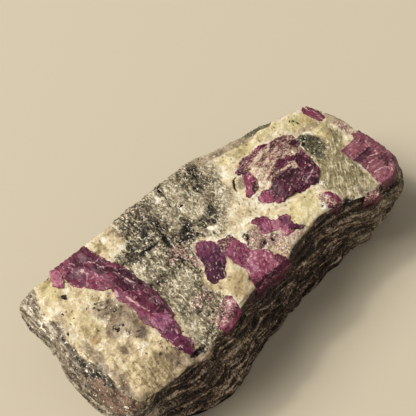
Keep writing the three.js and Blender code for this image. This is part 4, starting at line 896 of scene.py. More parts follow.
# %% Faces: tone from 0 to 1, share of crust, then the corners
# the tones are partly the ruby's colour and partly painted light and shade of how each face is turned
FACES = [
    (0.3, 0, (-19.1, 9.6), (-18.3, 9.9), (-17.2, 8.6), (-16.6, 7.6), (-17.5, 6.6), (-18.2, 6.9),
     (-18.9, 7.9)),
    (0.18, 0, (-17.2, 11.6), (-14.1, 11.6), (-13.6, 8.7), (-14.6, 8.4), (-15.4, 9.4), (-16.6, 9.2),
     (-17.1, 10)),
    (0.72, 0, (-16.9, 7.4), (-16.1, 7.9), (-15.6, 7.3), (-15.5, 6), (-16.1, 5), (-16.9, 5), (-17.6, 6.4)),
    (0.26, 0.3, (-14.6, 8.4), (-13.6, 8.7), (-13.3, 7.6), (-13.9, 7), (-14.5, 7.3)),
    (0.06, 0, (-14.9, 7.6), (-14.3, 7.4), (-13.6, 6.8), (-13, 5.6), (-11.6, 4.6), (-11.6, 3), (-12.6, 2.2),
     (-13.2, 4), (-13.5, 5.6), (-14.4, 6.2)),
    (0.16, 0.05, (-14.6, 4.8), (-13.3, 4.8), (-12.8, 2.4), (-13.2, 1.9), (-14.3, 2.4)),
    (0.66, 0, (-15.2, 1.4), (-14.6, 2.6), (-14.1, 1.8), (-13.9, 0.2), (-14.3, -0.5), (-15, -0.2)),
    (0.62, 0, (-13.9, 1.9), (-12.9, 1.5), (-13, 0.9), (-13.9, 1)),
    (0.3, 0, (-13.9, 0.8), (-12.3, 0.8), (-12.4, -2.3), (-13.5, -2.6), (-13.9, -1)),
    (0.16, 0, (-12.2, 1.8), (-11.3, 1.8), (-11, -1), (-11.2, -4), (-12, -4.4), (-12.3, -2), (-12.1, 0)),
    (0.8, 0, (-14.5, -3), (-13.2, -2.7), (-12.3, -3.5), (-12.1, -4.8), (-13, -5.4), (-14.2, -5.2)),
    (0.44, 0, (-14.4, -5.7), (-13, -5.5), (-12.1, -6.4), (-12.6, -7.3), (-14.2, -7.4)),
    (0.32, 0, (-14.3, -8.1), (-13.6, -8.4), (-12.3, -8.2), (-12.3, -9.6), (-13.2, -10.4), (-13.9, -9.6)),
    (0.9, 0, (-20.9, 10.6), (-19.4, 11), (-19.2, 10.2), (-19.9, 8.9), (-20.9, 9.4)),
    (0.5, 0, (-3.9, 0.3), (-2.4, 1.5), (-1, 0.6), (-0.9, -0.8), (-2.2, -1), (-3.8, -0.6)),
    (0.28, 0, (-3.9, -0.6), (-2.2, -1), (-0.9, -0.8), (-1.2, -2.2), (-2, -2.4), (-3.2, -2), (-4.3, -1.6)),
    (0.1, 0, (-4.6, -2.5), (-3, -2.8), (-2.6, -3.8), (-3.1, -4.9), (-5.1, -4.4), (-5.2, -3.3)),
    (0.12, 0.45, (-0.8, -0.2), (1.6, -0.4), (1.6, -1.1), (0.9, -1.3), (0, -1.7), (-0.9, -1.9)),
    (0.66, 0, (-1, -2), (0.6, -1.5), (1.6, -1.3), (1.6, -2.2), (0.5, -2.8), (-0.4, -3.2), (-1, -2.9)),
    (0.54, 0.05, (-0.9, -3.3), (0.4, -2.9), (1.8, -2.4), (2.1, -3.4), (1.9, -4.2), (1.5, -4.7), (0.5, -5.1),
     (-0.4, -5.6), (-0.8, -4.6)),
    (0.74, 0.1, (0.5, -5.1), (2, -4.4), (3, -4.8), (3.7, -6.2), (3.5, -8.2), (0.2, -8.2), (-0.6, -7.5),
     (-0.3, -6)),
    (0.1, 0.15, (3.5, -6.8), (4.5, -6.9), (4.9, -8.2), (3.9, -8.5), (3.6, -7.5)),
    (0.08, 0, (-1.2, -8.3), (5, -8.3), (5, -9.2), (-1.2, -9.2)),
    (0.6, 0, (5.1, -1.6), (6.8, -1.5), (6.9, -2.8), (6.4, -3.9), (5.4, -3.7), (5, -2.8)),
    (0.92, 0.2, (6.9, -2.6), (7.9, -3.3), (8, -4.4), (7, -4.5), (6.4, -3.9)),
    (0.44, 0, (8, -3.2), (9.3, -3.5), (9.3, -4.2), (8.9, -5.4), (7.9, -5.6), (8, -4.4)),
    (0.3, 0.6, (18, -8.2), (21.2, -8), (21.4, -9.8), (18, -9.8)),
    (0.04, 0, (8.2, -5.7), (9.2, -5.4), (10.1, -6.2), (8.8, -6.2)),
    (0.62, 0, (21.5, -0.8), (23, -0.75), (24.6, -0.9), (24.9, -3), (23.4, -3.05), (21.6, -2.9)),
    (0.22, 0.2, (21.6, -3), (23.4, -3.1), (25.3, -3), (25, -3.9), (24, -4.2), (22.1, -4.2)),
    (0.5, 0, (22.1, -4.3), (24, -4.2), (26, -4.8), (26.1, -5.3), (24.6, -5), (23, -4.95), (22.2, -5.4)),
    (0.6, 0, (22, -5.6), (23, -5.05), (24.4, -5.05), (24.9, -6), (24.4, -6.8), (22.2, -6.4)),
    (0.3, 0, (24.5, -5.1), (26.3, -5.4), (26.2, -6.6), (25.2, -7), (24.5, -6.8), (24.9, -6)),
    (0.64, 0, (22.1, -6.5), (24.3, -6.9), (24.5, -8), (24.4, -9), (22, -9)),
    (0.75, 0.45, (24.4, -7), (25.3, -7.1), (25.2, -7.9), (24.6, -8.2)),
    (0.6, 0, (24.6, 0.2), (25.6, -0.2), (26.1, -1.6), (25.6, -3), (24.9, -2.9), (24.7, -1.2)),
    (0.2, 0.9, (14.2, 5.9), (16, 6.8), (17.6, 6.4), (18.8, 5.2), (18, 4.2), (16.2, 4.5), (14.8, 3.9),
     (13.8, 4.6)),
    (0.95, 1, (11, 5.8), (12.4, 6.7), (15.4, 6.9), (14.4, 6.1), (12.6, 5.7)),
    (0.9, 1, (10.1, 5), (11, 5.6), (11.6, 4.4), (11.2, 3.4), (10.2, 3.6)),
    (0.55, 0.3, (11.6, 5.4), (13, 5.6), (13, 5.2), (11.8, 4.9)),
    (0.3, 0.9, (11.5, 3.9), (12.9, 3.8), (13, 2.7), (11.8, 2.5)),
    (0.5, 1, (11.4, 5.3), (12.2, 5.8), (14, 5.7), (15.8, 5.9), (15.6, 5.4), (12.6, 5.2)),
    (0.06, 0, (16.9, 5), (18.4, 5.1), (18.5, 4.1), (17.4, 4.3)),
    (1, 1, (16.3, 3.7), (17, 4.2), (17.6, 3.7), (17, 3), (16.2, 3.2)),
    (0.26, 0, (12.9, 3.6), (13.6, 3.7), (14, 4), (14.6, 3.8), (15.2, 3.1), (14.8, 2.8), (13.2, 2.6)),
    (0.95, 0.9, (13.2, 2.6), (14.9, 2.45), (14.9, 2.2), (13.2, 2.35)),
    (0.95, 1, (14.8, 2.2), (15.5, 2.3), (15.7, 1.8), (15.2, 1.2), (14.8, 1.5)),
    (0.14, 0.12, (10.2, 1.4), (11.4, 1.7), (12.2, 2.2), (12.5, 1), (12.5, -0.4), (11.8, -1.3), (10.2, -1)),
    (0, 0, (12.4, 1.4), (13.3, 1.7), (14.6, 1.7), (15.2, 1.1), (15.4, 0.7), (14, 0.2), (12.5, 0.2)),
    (0.16, 0, (15.4, 1.2), (15.9, 2.4), (17, 2.9), (17.4, 1.6), (17.4, 0.7), (15.4, 0.5)),
    (0.26, 0.3, (13, 0.2), (15.4, 0.5), (17.3, 0.7), (17.4, -0.6), (16.4, -1.6), (14.8, -1.5), (12.8, -1.4)),
    (0.14, 0, (14.9, -1.6), (16.5, -1.5), (16, -2.6), (15.4, -2.8)),
    (0.75, 1, (10, 4.2), (11, 4.6), (11.4, 3.4), (11.2, 2), (10.3, 1.6), (10, 3)),
    (0.66, 0, (8.1, 4.2), (8.7, 5.2), (9.9, 5.2), (9.9, 4.2), (9, 3.6), (7.9, 3.2)),
    (0.12, 0.4, (8, 2.7), (9, 3.5), (9.8, 3.6), (9.2, 2.5), (8.2, 2.1)),
    (0.7, 0, (7.8, 0.9), (9, 1.5), (10.2, 0.9), (9.8, -0.1), (9.2, -0.8), (8, 0.1)),
    (0.22, 0.5, (8.4, 6.2), (10.6, 7.5), (13.2, 7.3), (13, 6.6), (10.8, 6), (9, 5.6)),
]
FACE_BORDER = 0.06  # half of the width over which a drawn face fades in
FACE_STEP = 0.16  # height between the darkest and the brightest face
FACE_MARGIN = 0.3  # a face farther than this from all the points is left out


def face_depths(points):
    """For each drawn face, how deep the points lie inside it, with its border bent a little. A face that lies
    wholly beside the points is left out, to save time."""
    bent_points = bent(points, FACE_BENDS)
    low, high = bent_points[..., :2].min((0, 1)), bent_points[..., :2].max((0, 1))
    for tone, crust, *outline in FACES:
        corners = np.array(outline)
        if (corners.max(0) > low - FACE_MARGIN).all() and (corners.min(0) < high + FACE_MARGIN).all():
            yield tone, crust, depth_inside(bent_points, outline)


print(len(FACES), "drawn faces")

# %% [markdown]
# ## The shape of a crystal
# A crystal is a closed shell like the rock. Its top is the lowest of its facet planes, so neighbouring facets
# meet in a sharp ridge. Fine growth steps and chips keep the faces from looking like plastic. Where a crystal
# reaches the edge of the stone, its side follows the broken side of the rock.

# %% Heights on a crystal
COARSE = SimpleNamespace(size=(2, 1.1, 9), height=0.1, shade=0.16)  # size along, across and up, in mm
FINE = SimpleNamespace(size=(0.9, 0.45, 9), height=0.04, shade=0.1)
GROOVE = SimpleNamespace(size=(2.2, 0.26, 9), height=0.015)
STANDS, STRIPED = 0.3, 0.1  # for a crystal that gives no other share


def facet_height(points, facets):
    """The lowest facet plane above a point: z - slope · (distance along the bearing)."""
    height = np.full(points.shape[:-1], np.inf)
    for x, y, z, bearing, slope in facets:
        ahead, _ = turned(points[..., 0] - x, points[..., 1] - y, bearing)
        height = np.minimum(height, z - slope * ahead)
    return height


def growth(points, part, seed):
    """Broken growth layers, chips of two sizes and fine grooves, all longer than wide and laid along the
    crystal's own grain. Gives their relief in mm, the shift of tone that each chip and groove brings, and the
    points' millimetres along the grain and across it."""
    along, across = turned(points[..., 0], points[..., 1], part["grain"])
    laid = np.stack([along, across, np.zeros(along.shape)], axis=-1)
    coarse, coarse_number = chips(laid, COARSE.size, seed + 2)
    fine, fine_number = chips(laid, FINE.size, seed + 12)
    groove = noise(laid, GROOVE.size, seed + 22)
    relief = COARSE.height * coarse + FINE.height * fine + GROOVE.height * groove
    shift = COARSE.shade * (coarse_number - 0.5) + FINE.shade * (fine_number - 0.5)
    return relief, shift + part.get("striped", STRIPED) * groove, along, across


def face_steps(points):
    """A step at the border of each drawn face: dark faces lie low and bright ones high."""
    return sum(FACE_STEP * (tone - 0.5) * smooth_step(-FACE_BORDER, FACE_BORDER, depth)
               for tone, _, depth in face_depths(seen(points + (0, 0, FACE_HEIGHT))))


# %% The grid of a crystal
CRYSTAL_STEP = 0.13  # spacing of the points on a crystal, in mm
LEAST_ROWS = 8  # rows of the smallest top
CROWDING = 1.1  # power that brings the rows closer together at the rim
WALL_ROWS = 17
UNDER_ROWS = np.array([0, 0.5])  # shares of the way from the spine to the foot of the wall
SPINE_INSET = 0.3  # share of the way between the two end corners that a plain spine leaves out at each end
EDGE_ROUNDS = 6  # times that an outline is rounded to find its outward direction
EDGE_CHIP = SimpleNamespace(size=0.5, height=0.14)  # mm, how the outline is chipped
EDGE_GRAIN = SimpleNamespace(size=0.3, height=0.06)  # and roughened
WALL_GRAIN = SimpleNamespace(size=(1.5, 1.5, 0.4), height=0.05)
LEAST_PROUD = 0.08  # mm by which a crystal stands above the rock at least
STEPS_START = 0.4  # mm from its rim at which its steps have their full height
WORN, WORN_WIDTH = 0.04, 0.2  # mm that its rim is worn down, and over what width
AT_RIM = 0.9, 0.3  # mm from the stone's rim where a wall starts to follow its side, and where it fully does
WALL_CLEAR = 0.12  # mm by which it stands out of the side of the stone


def crystal_spine(part, columns):
    """The point where the rows of each column close, along the spine."""
    corners = np.array(part["outline"])
    start, end = corners[0], corners[part["far"]]
    spine = np.array(part.get("spine") or [
        start * (1 - SPINE_INSET) + end * SPINE_INSET, start * SPINE_INSET + end * (1 - SPINE_INSET)])
    steps = np.linalg.norm(np.diff(spine, axis=0), axis=-1)
    return filled_in(folded(columns), np.concatenate([[0], np.cumsum(steps)]) / steps.sum(), spine)


def crystal_top(part, edge, inner, seed):
    """The rows of the top, from the rim in to the spine, at a share of the facets' height above the rock. Its
    steps fade out towards the rim, which is worn round."""
    reach = np.linalg.norm(edge - inner, axis=-1)
    rows = max(LEAST_ROWS, round(reach.max() / CRYSTAL_STEP))
    t = np.linspace(0, 1, rows)[:, None, None] ** CROWDING
    top = edge * (1 - t) + inner * t
    flat = np.dstack([top, np.zeros(top.shape[:2])])
    inset = t[..., 0] * reach
    bare = bare_rock_height(top)
    proud = facet_height(top, part["facets"]) - bare
    height = bare + np.maximum(LEAST_PROUD, part.get("stands", STANDS) * proud)
    height += (growth(flat, part, seed)[0] + face_steps(flat)) * smooth_step(0, STEPS_START, inset)
    height -= WORN * (1 - np.clip(inset / WORN_WIDTH, 0, 1)) ** 2
    return np.dstack([top, height])


def crystal_wall(part, edge, out, height, seed):
    """The rows of the wall, from the root up to the rim at this height. Where the crystal reaches the rim of
    the stone, its wall follows the rock's own side, a little in front of it."""
    gap = np.linalg.norm(edge[:, None] - rim[None, :, :2], axis=-1)
    column = gap.argmin(axis=1)
    at_rim = smooth_step(*AT_RIM, gap.min(axis=1))
    level = np.linspace(0, 1, WALL_ROWS, endpoint=False)[:, None]
    z = part["root"] + (height - part["root"]) * level
    share = np.clip((z - foot_lift[column]) / (rim[column, 2] - foot_lift[column]), 0, 1)
    here = np.dstack([np.broadcast_to(edge, (*z.shape, 2)), z])
    offset = (side_offset(column, share) + ledges(here) * ledge_fade(share) + WALL_CLEAR) * at_rim
    rough = WALL_GRAIN.height * noise(here, WALL_GRAIN.size, seed + 5)
    return np.dstack([here[..., :2] + rim_out[column] * offset[..., None] + out * rough[..., None], z])


def crystal_grid(part, seed):
    """One crystal as a grid: the underside from the spine out, the wall and the top. The rim is the outline,
    chipped and roughened."""
    outline = np.array(part["outline"])
    way = walk(outline)
    columns = 2 * round(way[-1] / CRYSTAL_STEP / 2)
    edge = filled_in(halves(way, part["far"], columns), way, [*outline, outline[0]])
    out = outward_of(eased(edge, EDGE_ROUNDS))
    flat = np.column_stack([edge, np.zeros(columns)])
    chip = EDGE_CHIP.height * chips(flat, EDGE_CHIP.size, seed)[0]
    grain = EDGE_GRAIN.height * noise(flat, EDGE_GRAIN.size, seed + 1)
    edge = edge + out * (chip + grain)[:, None]
    inner = crystal_spine(part, columns)
    top = crystal_top(part, edge, inner, seed)
    wall = crystal_wall(part, edge, out, top[0, :, 2], seed)
    t = UNDER_ROWS[:, None, None]
    under = np.dstack([inner * (1 - t) + wall[0, :, :2] * t, np.full((len(t), columns), part["root"])])
    return np.concatenate([under, wall, top])


# %% All the crystals
FIRST_SEED, NEXT_PIECE, NEXT_PRISM = 1000, 200, 50


def crystal_seeds(name):
    """The seed of each prism of a piece, far enough apart that each prism has random numbers of its own."""
    first = FIRST_SEED + NEXT_PIECE * list(CRYSTALS).index(name)
    return [first + NEXT_PRISM * k for k in range(len(CRYSTALS[name]))]


crystal_grids = {name: [crystal_grid(*pair) for pair in zip(parts, crystal_seeds(name))]
                 for name, parts in CRYSTALS.items()}
print({name: [grid.shape[:2] for grid in grids] for name, grids in crystal_grids.items()})

# %% [markdown]
# ## Tone of the rubies
# The crystals are not one colour. Cores are a dark plum, thin edges a bright magenta, and the large crystal
# is half covered by a cream and brown crust. Some of the dark is painted shade on parts turned from the
# light, and some of the bright is painted light on parts turned to it. As on the rock, ovals say where, and
# noise breaks their edges.

# %% Dark, bright and crusted parts
DARK = [  # plum cores, and painted shade on parts turned from the light
    (-3, -1, 2, 2, 0.7), (-3.6, -3.4, 1.6, 1.4), (13.4, 0.2, 3.6, 2, 0.9), (16, 0.2, 1.6, 2.4, 0.8),
    (13.8, 3.1, 1.4, 0.6, 0.9, 5), (15.8, -2, 1, 0.7, 0.7), (-12.9, 3.6, 1.1, 2.4, 0.8, 15),
    (-14.5, 7.2, 1, 1.4, 0.7), (-16.2, 9.4, 1.8, 1.2, 0.35), (-12.1, -1.8, 0.8, 3, 0.6),
    (-13.6, -8.8, 0.8, 1.2, 0.4), (1.6, -8.8, 3.2, 0.5, 0.7), (4.3, -7.6, 0.6, 0.7, 0.7),
    (8.6, -5.4, 0.6, 0.6, 0.6), (23.6, -3.6, 2.2, 0.55, 0.6), (25.6, -6.3, 0.7, 0.9, 0.5),
    (15, -6.9, 0.9, 0.3, 0.7), (17.6, 4.5, 1, 0.5, 0.8), (8.6, 2.4, 0.5, 0.5, 0.7), (9.2, 5.9, 0.6, 0.8, 0.5),
    (11.4, 7.1, 1.6, 0.4, 0.7), (0.7, -0.9, 0.8, 0.4, 0.5), (-7.3, -8.9, 0.6, 0.5, 0.9),
    (-6.2, -9.7, 0.8, 0.3, 0.9, 15), (-5.7, -7.8, 0.3, 0.7, 0.8), (-5, -9.1, 0.5, 0.3, 0.9),
]
BRIGHT = [  # magenta edges, and painted light on faces turned to the light
    (-16, 6.6, 0.7, 0.7, 0.8), (-13.3, -4.2, 1, 1.3, 0.8), (-14.4, 0.6, 0.4, 1.4, 0.8, 10),
    (-15.4, 3, 0.4, 0.7, 0.8, -20), (-20.1, 10.1, 0.9, 1.5, 0.9), (-18.2, 7.8, 0.9, 1.6, 0.45, 20),
    (0.8, -4.6, 1.8, 2, 0.75), (1.6, -6.4, 2.2, 1.2, 0.75), (0.6, -2.4, 0.9, 0.9, 0.6),
    (5.8, -2.8, 1.1, 1.3, 0.7), (7.2, -4.4, 1, 1.2, 0.9), (-5, -8.2, 0.6, 0.9, 0.6), (-7.2, -10, 1, 0.6, 0.6),
    (9, 0.4, 0.9, 0.9, 0.8), (8, 3.2, 0.8, 1.2, 0.6, -25), (10.6, 3.4, 0.7, 1.6, 0.8),
    (14.8, -4.9, 0.6, 0.6, 0.8), (23.4, -1.8, 1.6, 0.8, 0.35), (24, -5.4, 1.6, 0.8, 0.4),
    (23.4, -7.4, 0.8, 0.6, 0.4), (23.4, 7.9, 0.5, 0.5, 0.4), (20.2, -8.8, 0.8, 0.3, 0.3),
    (-2.6, 0.4, 1.2, 0.9, 0.4), (-13.6, -6.6, 0.7, 0.7, 0.4),
]
VIOLET = [  # bluer, more purple parts
    (-2.8, -1, 2.4, 3.6), (-13.2, -5.6, 1.6, 2.8, 0.7), (14.6, -1, 3, 1.6, 0.5, 15),
    (8.6, -4.4, 0.8, 1.4, 0.7), (9.4, 6.8, 2.6, 0.9, 0.6, 15), (17.4, 5, 1.4, 0.9, 0.6, -20),
    (6, -2.6, 1.2, 1.2, 0.4), (24, -3.6, 2.2, 0.7, 0.4), (0.4, -5.2, 1.2, 2, 0.3),
]
GREYISH = [  # duller parts
    (24.2, -4.2, 3.4, 5.6), (-2.6, 0.4, 1.6, 1.2, 0.3), (13, 0.6, 3, 1.6, 0.4),
]
CRUST = [  # cream and brown crust
    (14.2, 5, 3.8, 1.5, 1, -5), (11, 4.4, 1.1, 2, 1, 20), (10.5, 2.2, 0.7, 1.4, 0.9, 8),
    (12, 2.9, 1.2, 0.8, 0.9, 20), (16.8, 3.9, 1.3, 1), (15.2, 1.8, 0.6, 0.6), (14.2, 2.2, 1.6, 0.4, 0.6),
    (17.9, 1.5, 0.4, 2.4, 0.5), (12.6, 1.9, 0.6, 0.35, 0.7), (0.3, -0.9, 1.2, 0.7, 0.4),
    (10.6, 6.9, 2.6, 0.6, 0.6, 8), (17.6, 4.8, 1.2, 0.7, 0.5, -25), (3.4, -5.6, 0.6, 0.6, 0.5),
    (4.4, -7.4, 0.7, 0.7, 0.6), (6.8, -4.8, 0.8, 1, 0.45), (-6.8, -9.2, 1.8, 1.1, 0.5, 20),
    (-5.2, -7.8, 0.9, 0.9, 0.4), (9.5, 2.6, 0.5, 1, 0.6), (8.4, 2.2, 0.6, 0.5, 0.6, 30),
    (14.8, -5.6, 0.8, 1, 0.6), (15.4, -6.6, 0.8, 0.4, 0.5), (20.6, -8.9, 0.6, 0.3, 0.6),
    (-16.4, 11.3, 1.8, 0.4, 0.2),
]
SCRATCHES = [  # pale streaks along the crystals, and wide weak ovals that noise breaks into flecks
    (1.4, -6.4, 2.2, 1.8, 0.5), (0.6, -3.6, 1.2, 1.2, 0.4), (-5.2, -8.2, 0.9, 1.3, 0.6),
    (-7.2, -9.4, 1.4, 0.8, 0.55), (-13.8, -4.2, 1, 1.4, 0.35), (-16, 9.2, 1.8, 1.4, 0.2),
    (-13.2, 4.4, 0.9, 1.8, 0.2, 15), (6.4, -2.8, 1.4, 1.4, 0.4), (15.6, -1, 1.4, 1, 0.45),
    (0.4, -0.9, 1, 0.5, 0.45), (9.6, 6.6, 1.4, 0.5, 0.5, 20), (23.8, -2.2, 1.6, 1, 0.2),
    (24, -6.4, 1.8, 1.6, 0.25), (22.3, -4.25, 0.5, 0.07, 0.8), (24.2, -6.9, 0.9, 0.07, 0.8, -20),
    (-15.4, 3, 0.12, 0.7, 0.8, -20), (-14.4, 1.2, 0.1, 0.6, 0.8, 10), (-14.3, 0.2, 0.14, 0.5, 0.7, 5),
    (-17.6, 9.9, 0.1, 0.7, 0.7, 35), (-16.6, 8.7, 0.2, 0.25, 0.9), (-16.3, 7.9, 0.1, 0.5, 0.6, 20),
    (-14.4, 7.3, 0.1, 0.6, 0.7, 25), (-15.6, 6.5, 0.1, 0.3, 0.7), (-12.7, 3, 0.08, 0.9, 0.7, 15),
    (-13.9, -1, 0.1, 0.4, 0.6, 10), (-13.2, -6, 0.16, 0.16, 0.9), (-12.8, -6.7, 0.1, 0.4, 0.6, -20),
    (-3.5, -2.2, 0.2, 0.08, 0.6), (0.2, -3, 0.6, 0.1, 0.7, 25), (1.8, -4.75, 1, 0.1, 0.7, 12),
    (0.6, -5.9, 0.3, 0.1, 0.6, 30), (1.7, -5.8, 0.1, 0.5, 0.5, 10), (14, 2.3, 0.8, 0.1, 0.9),
    (13, 2, 0.35, 0.14, 0.7, 20), (22.5, -5.35, 0.5, 0.1, 1, 32), (23.6, -4.95, 0.8, 0.09, 0.9, 2),
    (24.6, -4.4, 0.9, 0.1, 0.9, -22), (23.3, -6.6, 1, 0.1, 0.9, -6), (23, -2.95, 1.3, 0.07, 0.7),
    (25.3, -2.6, 0.1, 0.8, 0.8, -15), (23.2, -7.5, 0.9, 0.06, 0.6), (24.25, -1.35, 0.16, 0.16),
    (23.5, 6.4, 0.1, 1, 0.6, 8), (9.2, 4.5, 0.22, 0.16), (-18.4, 10.6, 0.1, 0.5, 0.8, -25),
    (-17.2, 10.4, 0.12, 0.6, 0.8, 20), (-17.6, 9.6, 0.1, 0.5, 0.7, -30), (-16.75, 8.6, 0.22, 0.22),
    (-16.5, 8, 0.09, 0.7, 0.9, 22), (-15.2, 9, 0.08, 1.1, 0.8, 38), (-14.5, 7.6, 0.09, 0.6, 0.8, 20),
    (-13.9, 8.1, 0.08, 0.5, 0.7, -40), (-16.4, 6.9, 0.5, 0.14, 0.6, -20), (-15.2, 2.9, 0.16, 0.7, 0.9, -15),
    (-14.5, 1, 0.14, 0.9, 0.9, 8), (-14.2, -0.3, 0.2, 0.3, 0.9), (-13.8, -1.2, 0.12, 0.4, 0.8, 10),
    (-13.6, -1.9, 0.16, 0.16), (-12.5, -0.8, 0.07, 1, 0.7, -18), (-13.1, -5.95, 0.2, 0.2),
    (-12.8, -6.5, 0.12, 0.5, 0.9, -15), (-12.9, 3.4, 0.09, 1, 0.9, 18), (-3.8, -2.7, 0.3, 0.1, 0.8, 10),
    (-3.6, -1.8, 0.12, 0.18, 0.7), (16.8, 0.35, 0.2, 0.2), (14.6, -0.6, 1.1, 0.07, 0.9, 22),
    (15.6, -0.9, 1.1, 0.07, 0.9, 20), (14.2, -1.3, 1, 0.07, 0.7, 20), (15.4, 0.2, 1.2, 0.06, 0.7, 24),
    (16.6, -0.4, 0.8, 0.07, 0.8, 30), (-5.2, -8.1, 0.3, 0.4, 0.8), (6.7, -2.4, 0.1, 0.6, 0.5, -10),
    (-4.9, -8, 0.2, 0.3, 0.8), (16.6, 0.3, 0.3, 0.1, 0.6, 20),
]
TOP_LEVEL, WALL_FADE = 13.3, 0.8  # the walls are painted darker, as painted shade, below this height, over this many mm
WALL_SHADE = 0.6  # share of the tone that the darkest wall loses to painted shade
DRAWN_SHARE = 0.85  # how far a drawn face covers what the ovals say
BORDER_FADE = 0.03, 0.16  # mm from the border of a drawn face over which its mark fades


def ruby_weights(grid, part, seed):
    """The weights of the finish at each point: `tone` from 0 for dark plum to 1 for bright magenta, `violet`
    and `greyish` tints, `crust`, pale `scratch` and `border`, which is 1 on the borders of the drawn faces.
    `along` and `across` are the point's millimetres along the crystal's grain and across it, for the streaks.
    The walls are painted darker than the top, as painted shade."""
    level = seen(grid)
    ragged = bent(level, RUBY_BENDS)
    _, shift, along, across = growth(grid, part, seed)
    # tone: the ruby's plum and magenta, with painted light from BRIGHT and painted shade from DARK
    tone = 0.5 + 0.5 * patches(ragged, BRIGHT) - 0.5 * patches(ragged, DARK)
    crust = patches(ragged, CRUST)
    border = np.zeros(tone.shape)
    for face_tone, face_crust, depth in face_depths(level):
        weight = DRAWN_SHARE * smooth_step(-FACE_BORDER, FACE_BORDER, depth)
        tone += weight * (face_tone - tone)
        crust += weight * (face_crust - crust)
        border = np.maximum(border, 1 - smooth_step(*BORDER_FADE, np.abs(depth)))
    # painted shade: the walls lose tone below the top
    low = smooth_step(TOP_LEVEL, TOP_LEVEL - WALL_FADE, grid[..., 2])
    tone = (tone + shift) * (1 - WALL_SHADE * low)
    return {
        "tone": np.clip(tone, 0, 1), "crust": crust, "border": border, "along": along, "across": across,
        "violet": patches(ragged, VIOLET), "greyish": patches(ragged, GREYISH),
        "scratch": patches(bent(level, SCRATCH_BENDS), SCRATCHES),
    }


# %% [markdown]
# ## Building materials by hand
# A material is a network of small steps. These helpers add one step each and wire its inputs, so that a
# finish below reads like a recipe: take a noise, turn it into a mask, mix two colours by it.

# %% Helpers for material networks
CLOUDS = "fine", "medium", "flake", "streak", "fibre", "dusty"
SPANS = dict.fromkeys(CLOUDS, (0.3, 0.7)) | {"broad": (0.35, 0.65)}  # most of a cloud lies between these
STONE = {"Specular IOR Level": 0.25, "Subsurface Weight": 0.2}  # the same for both finishes


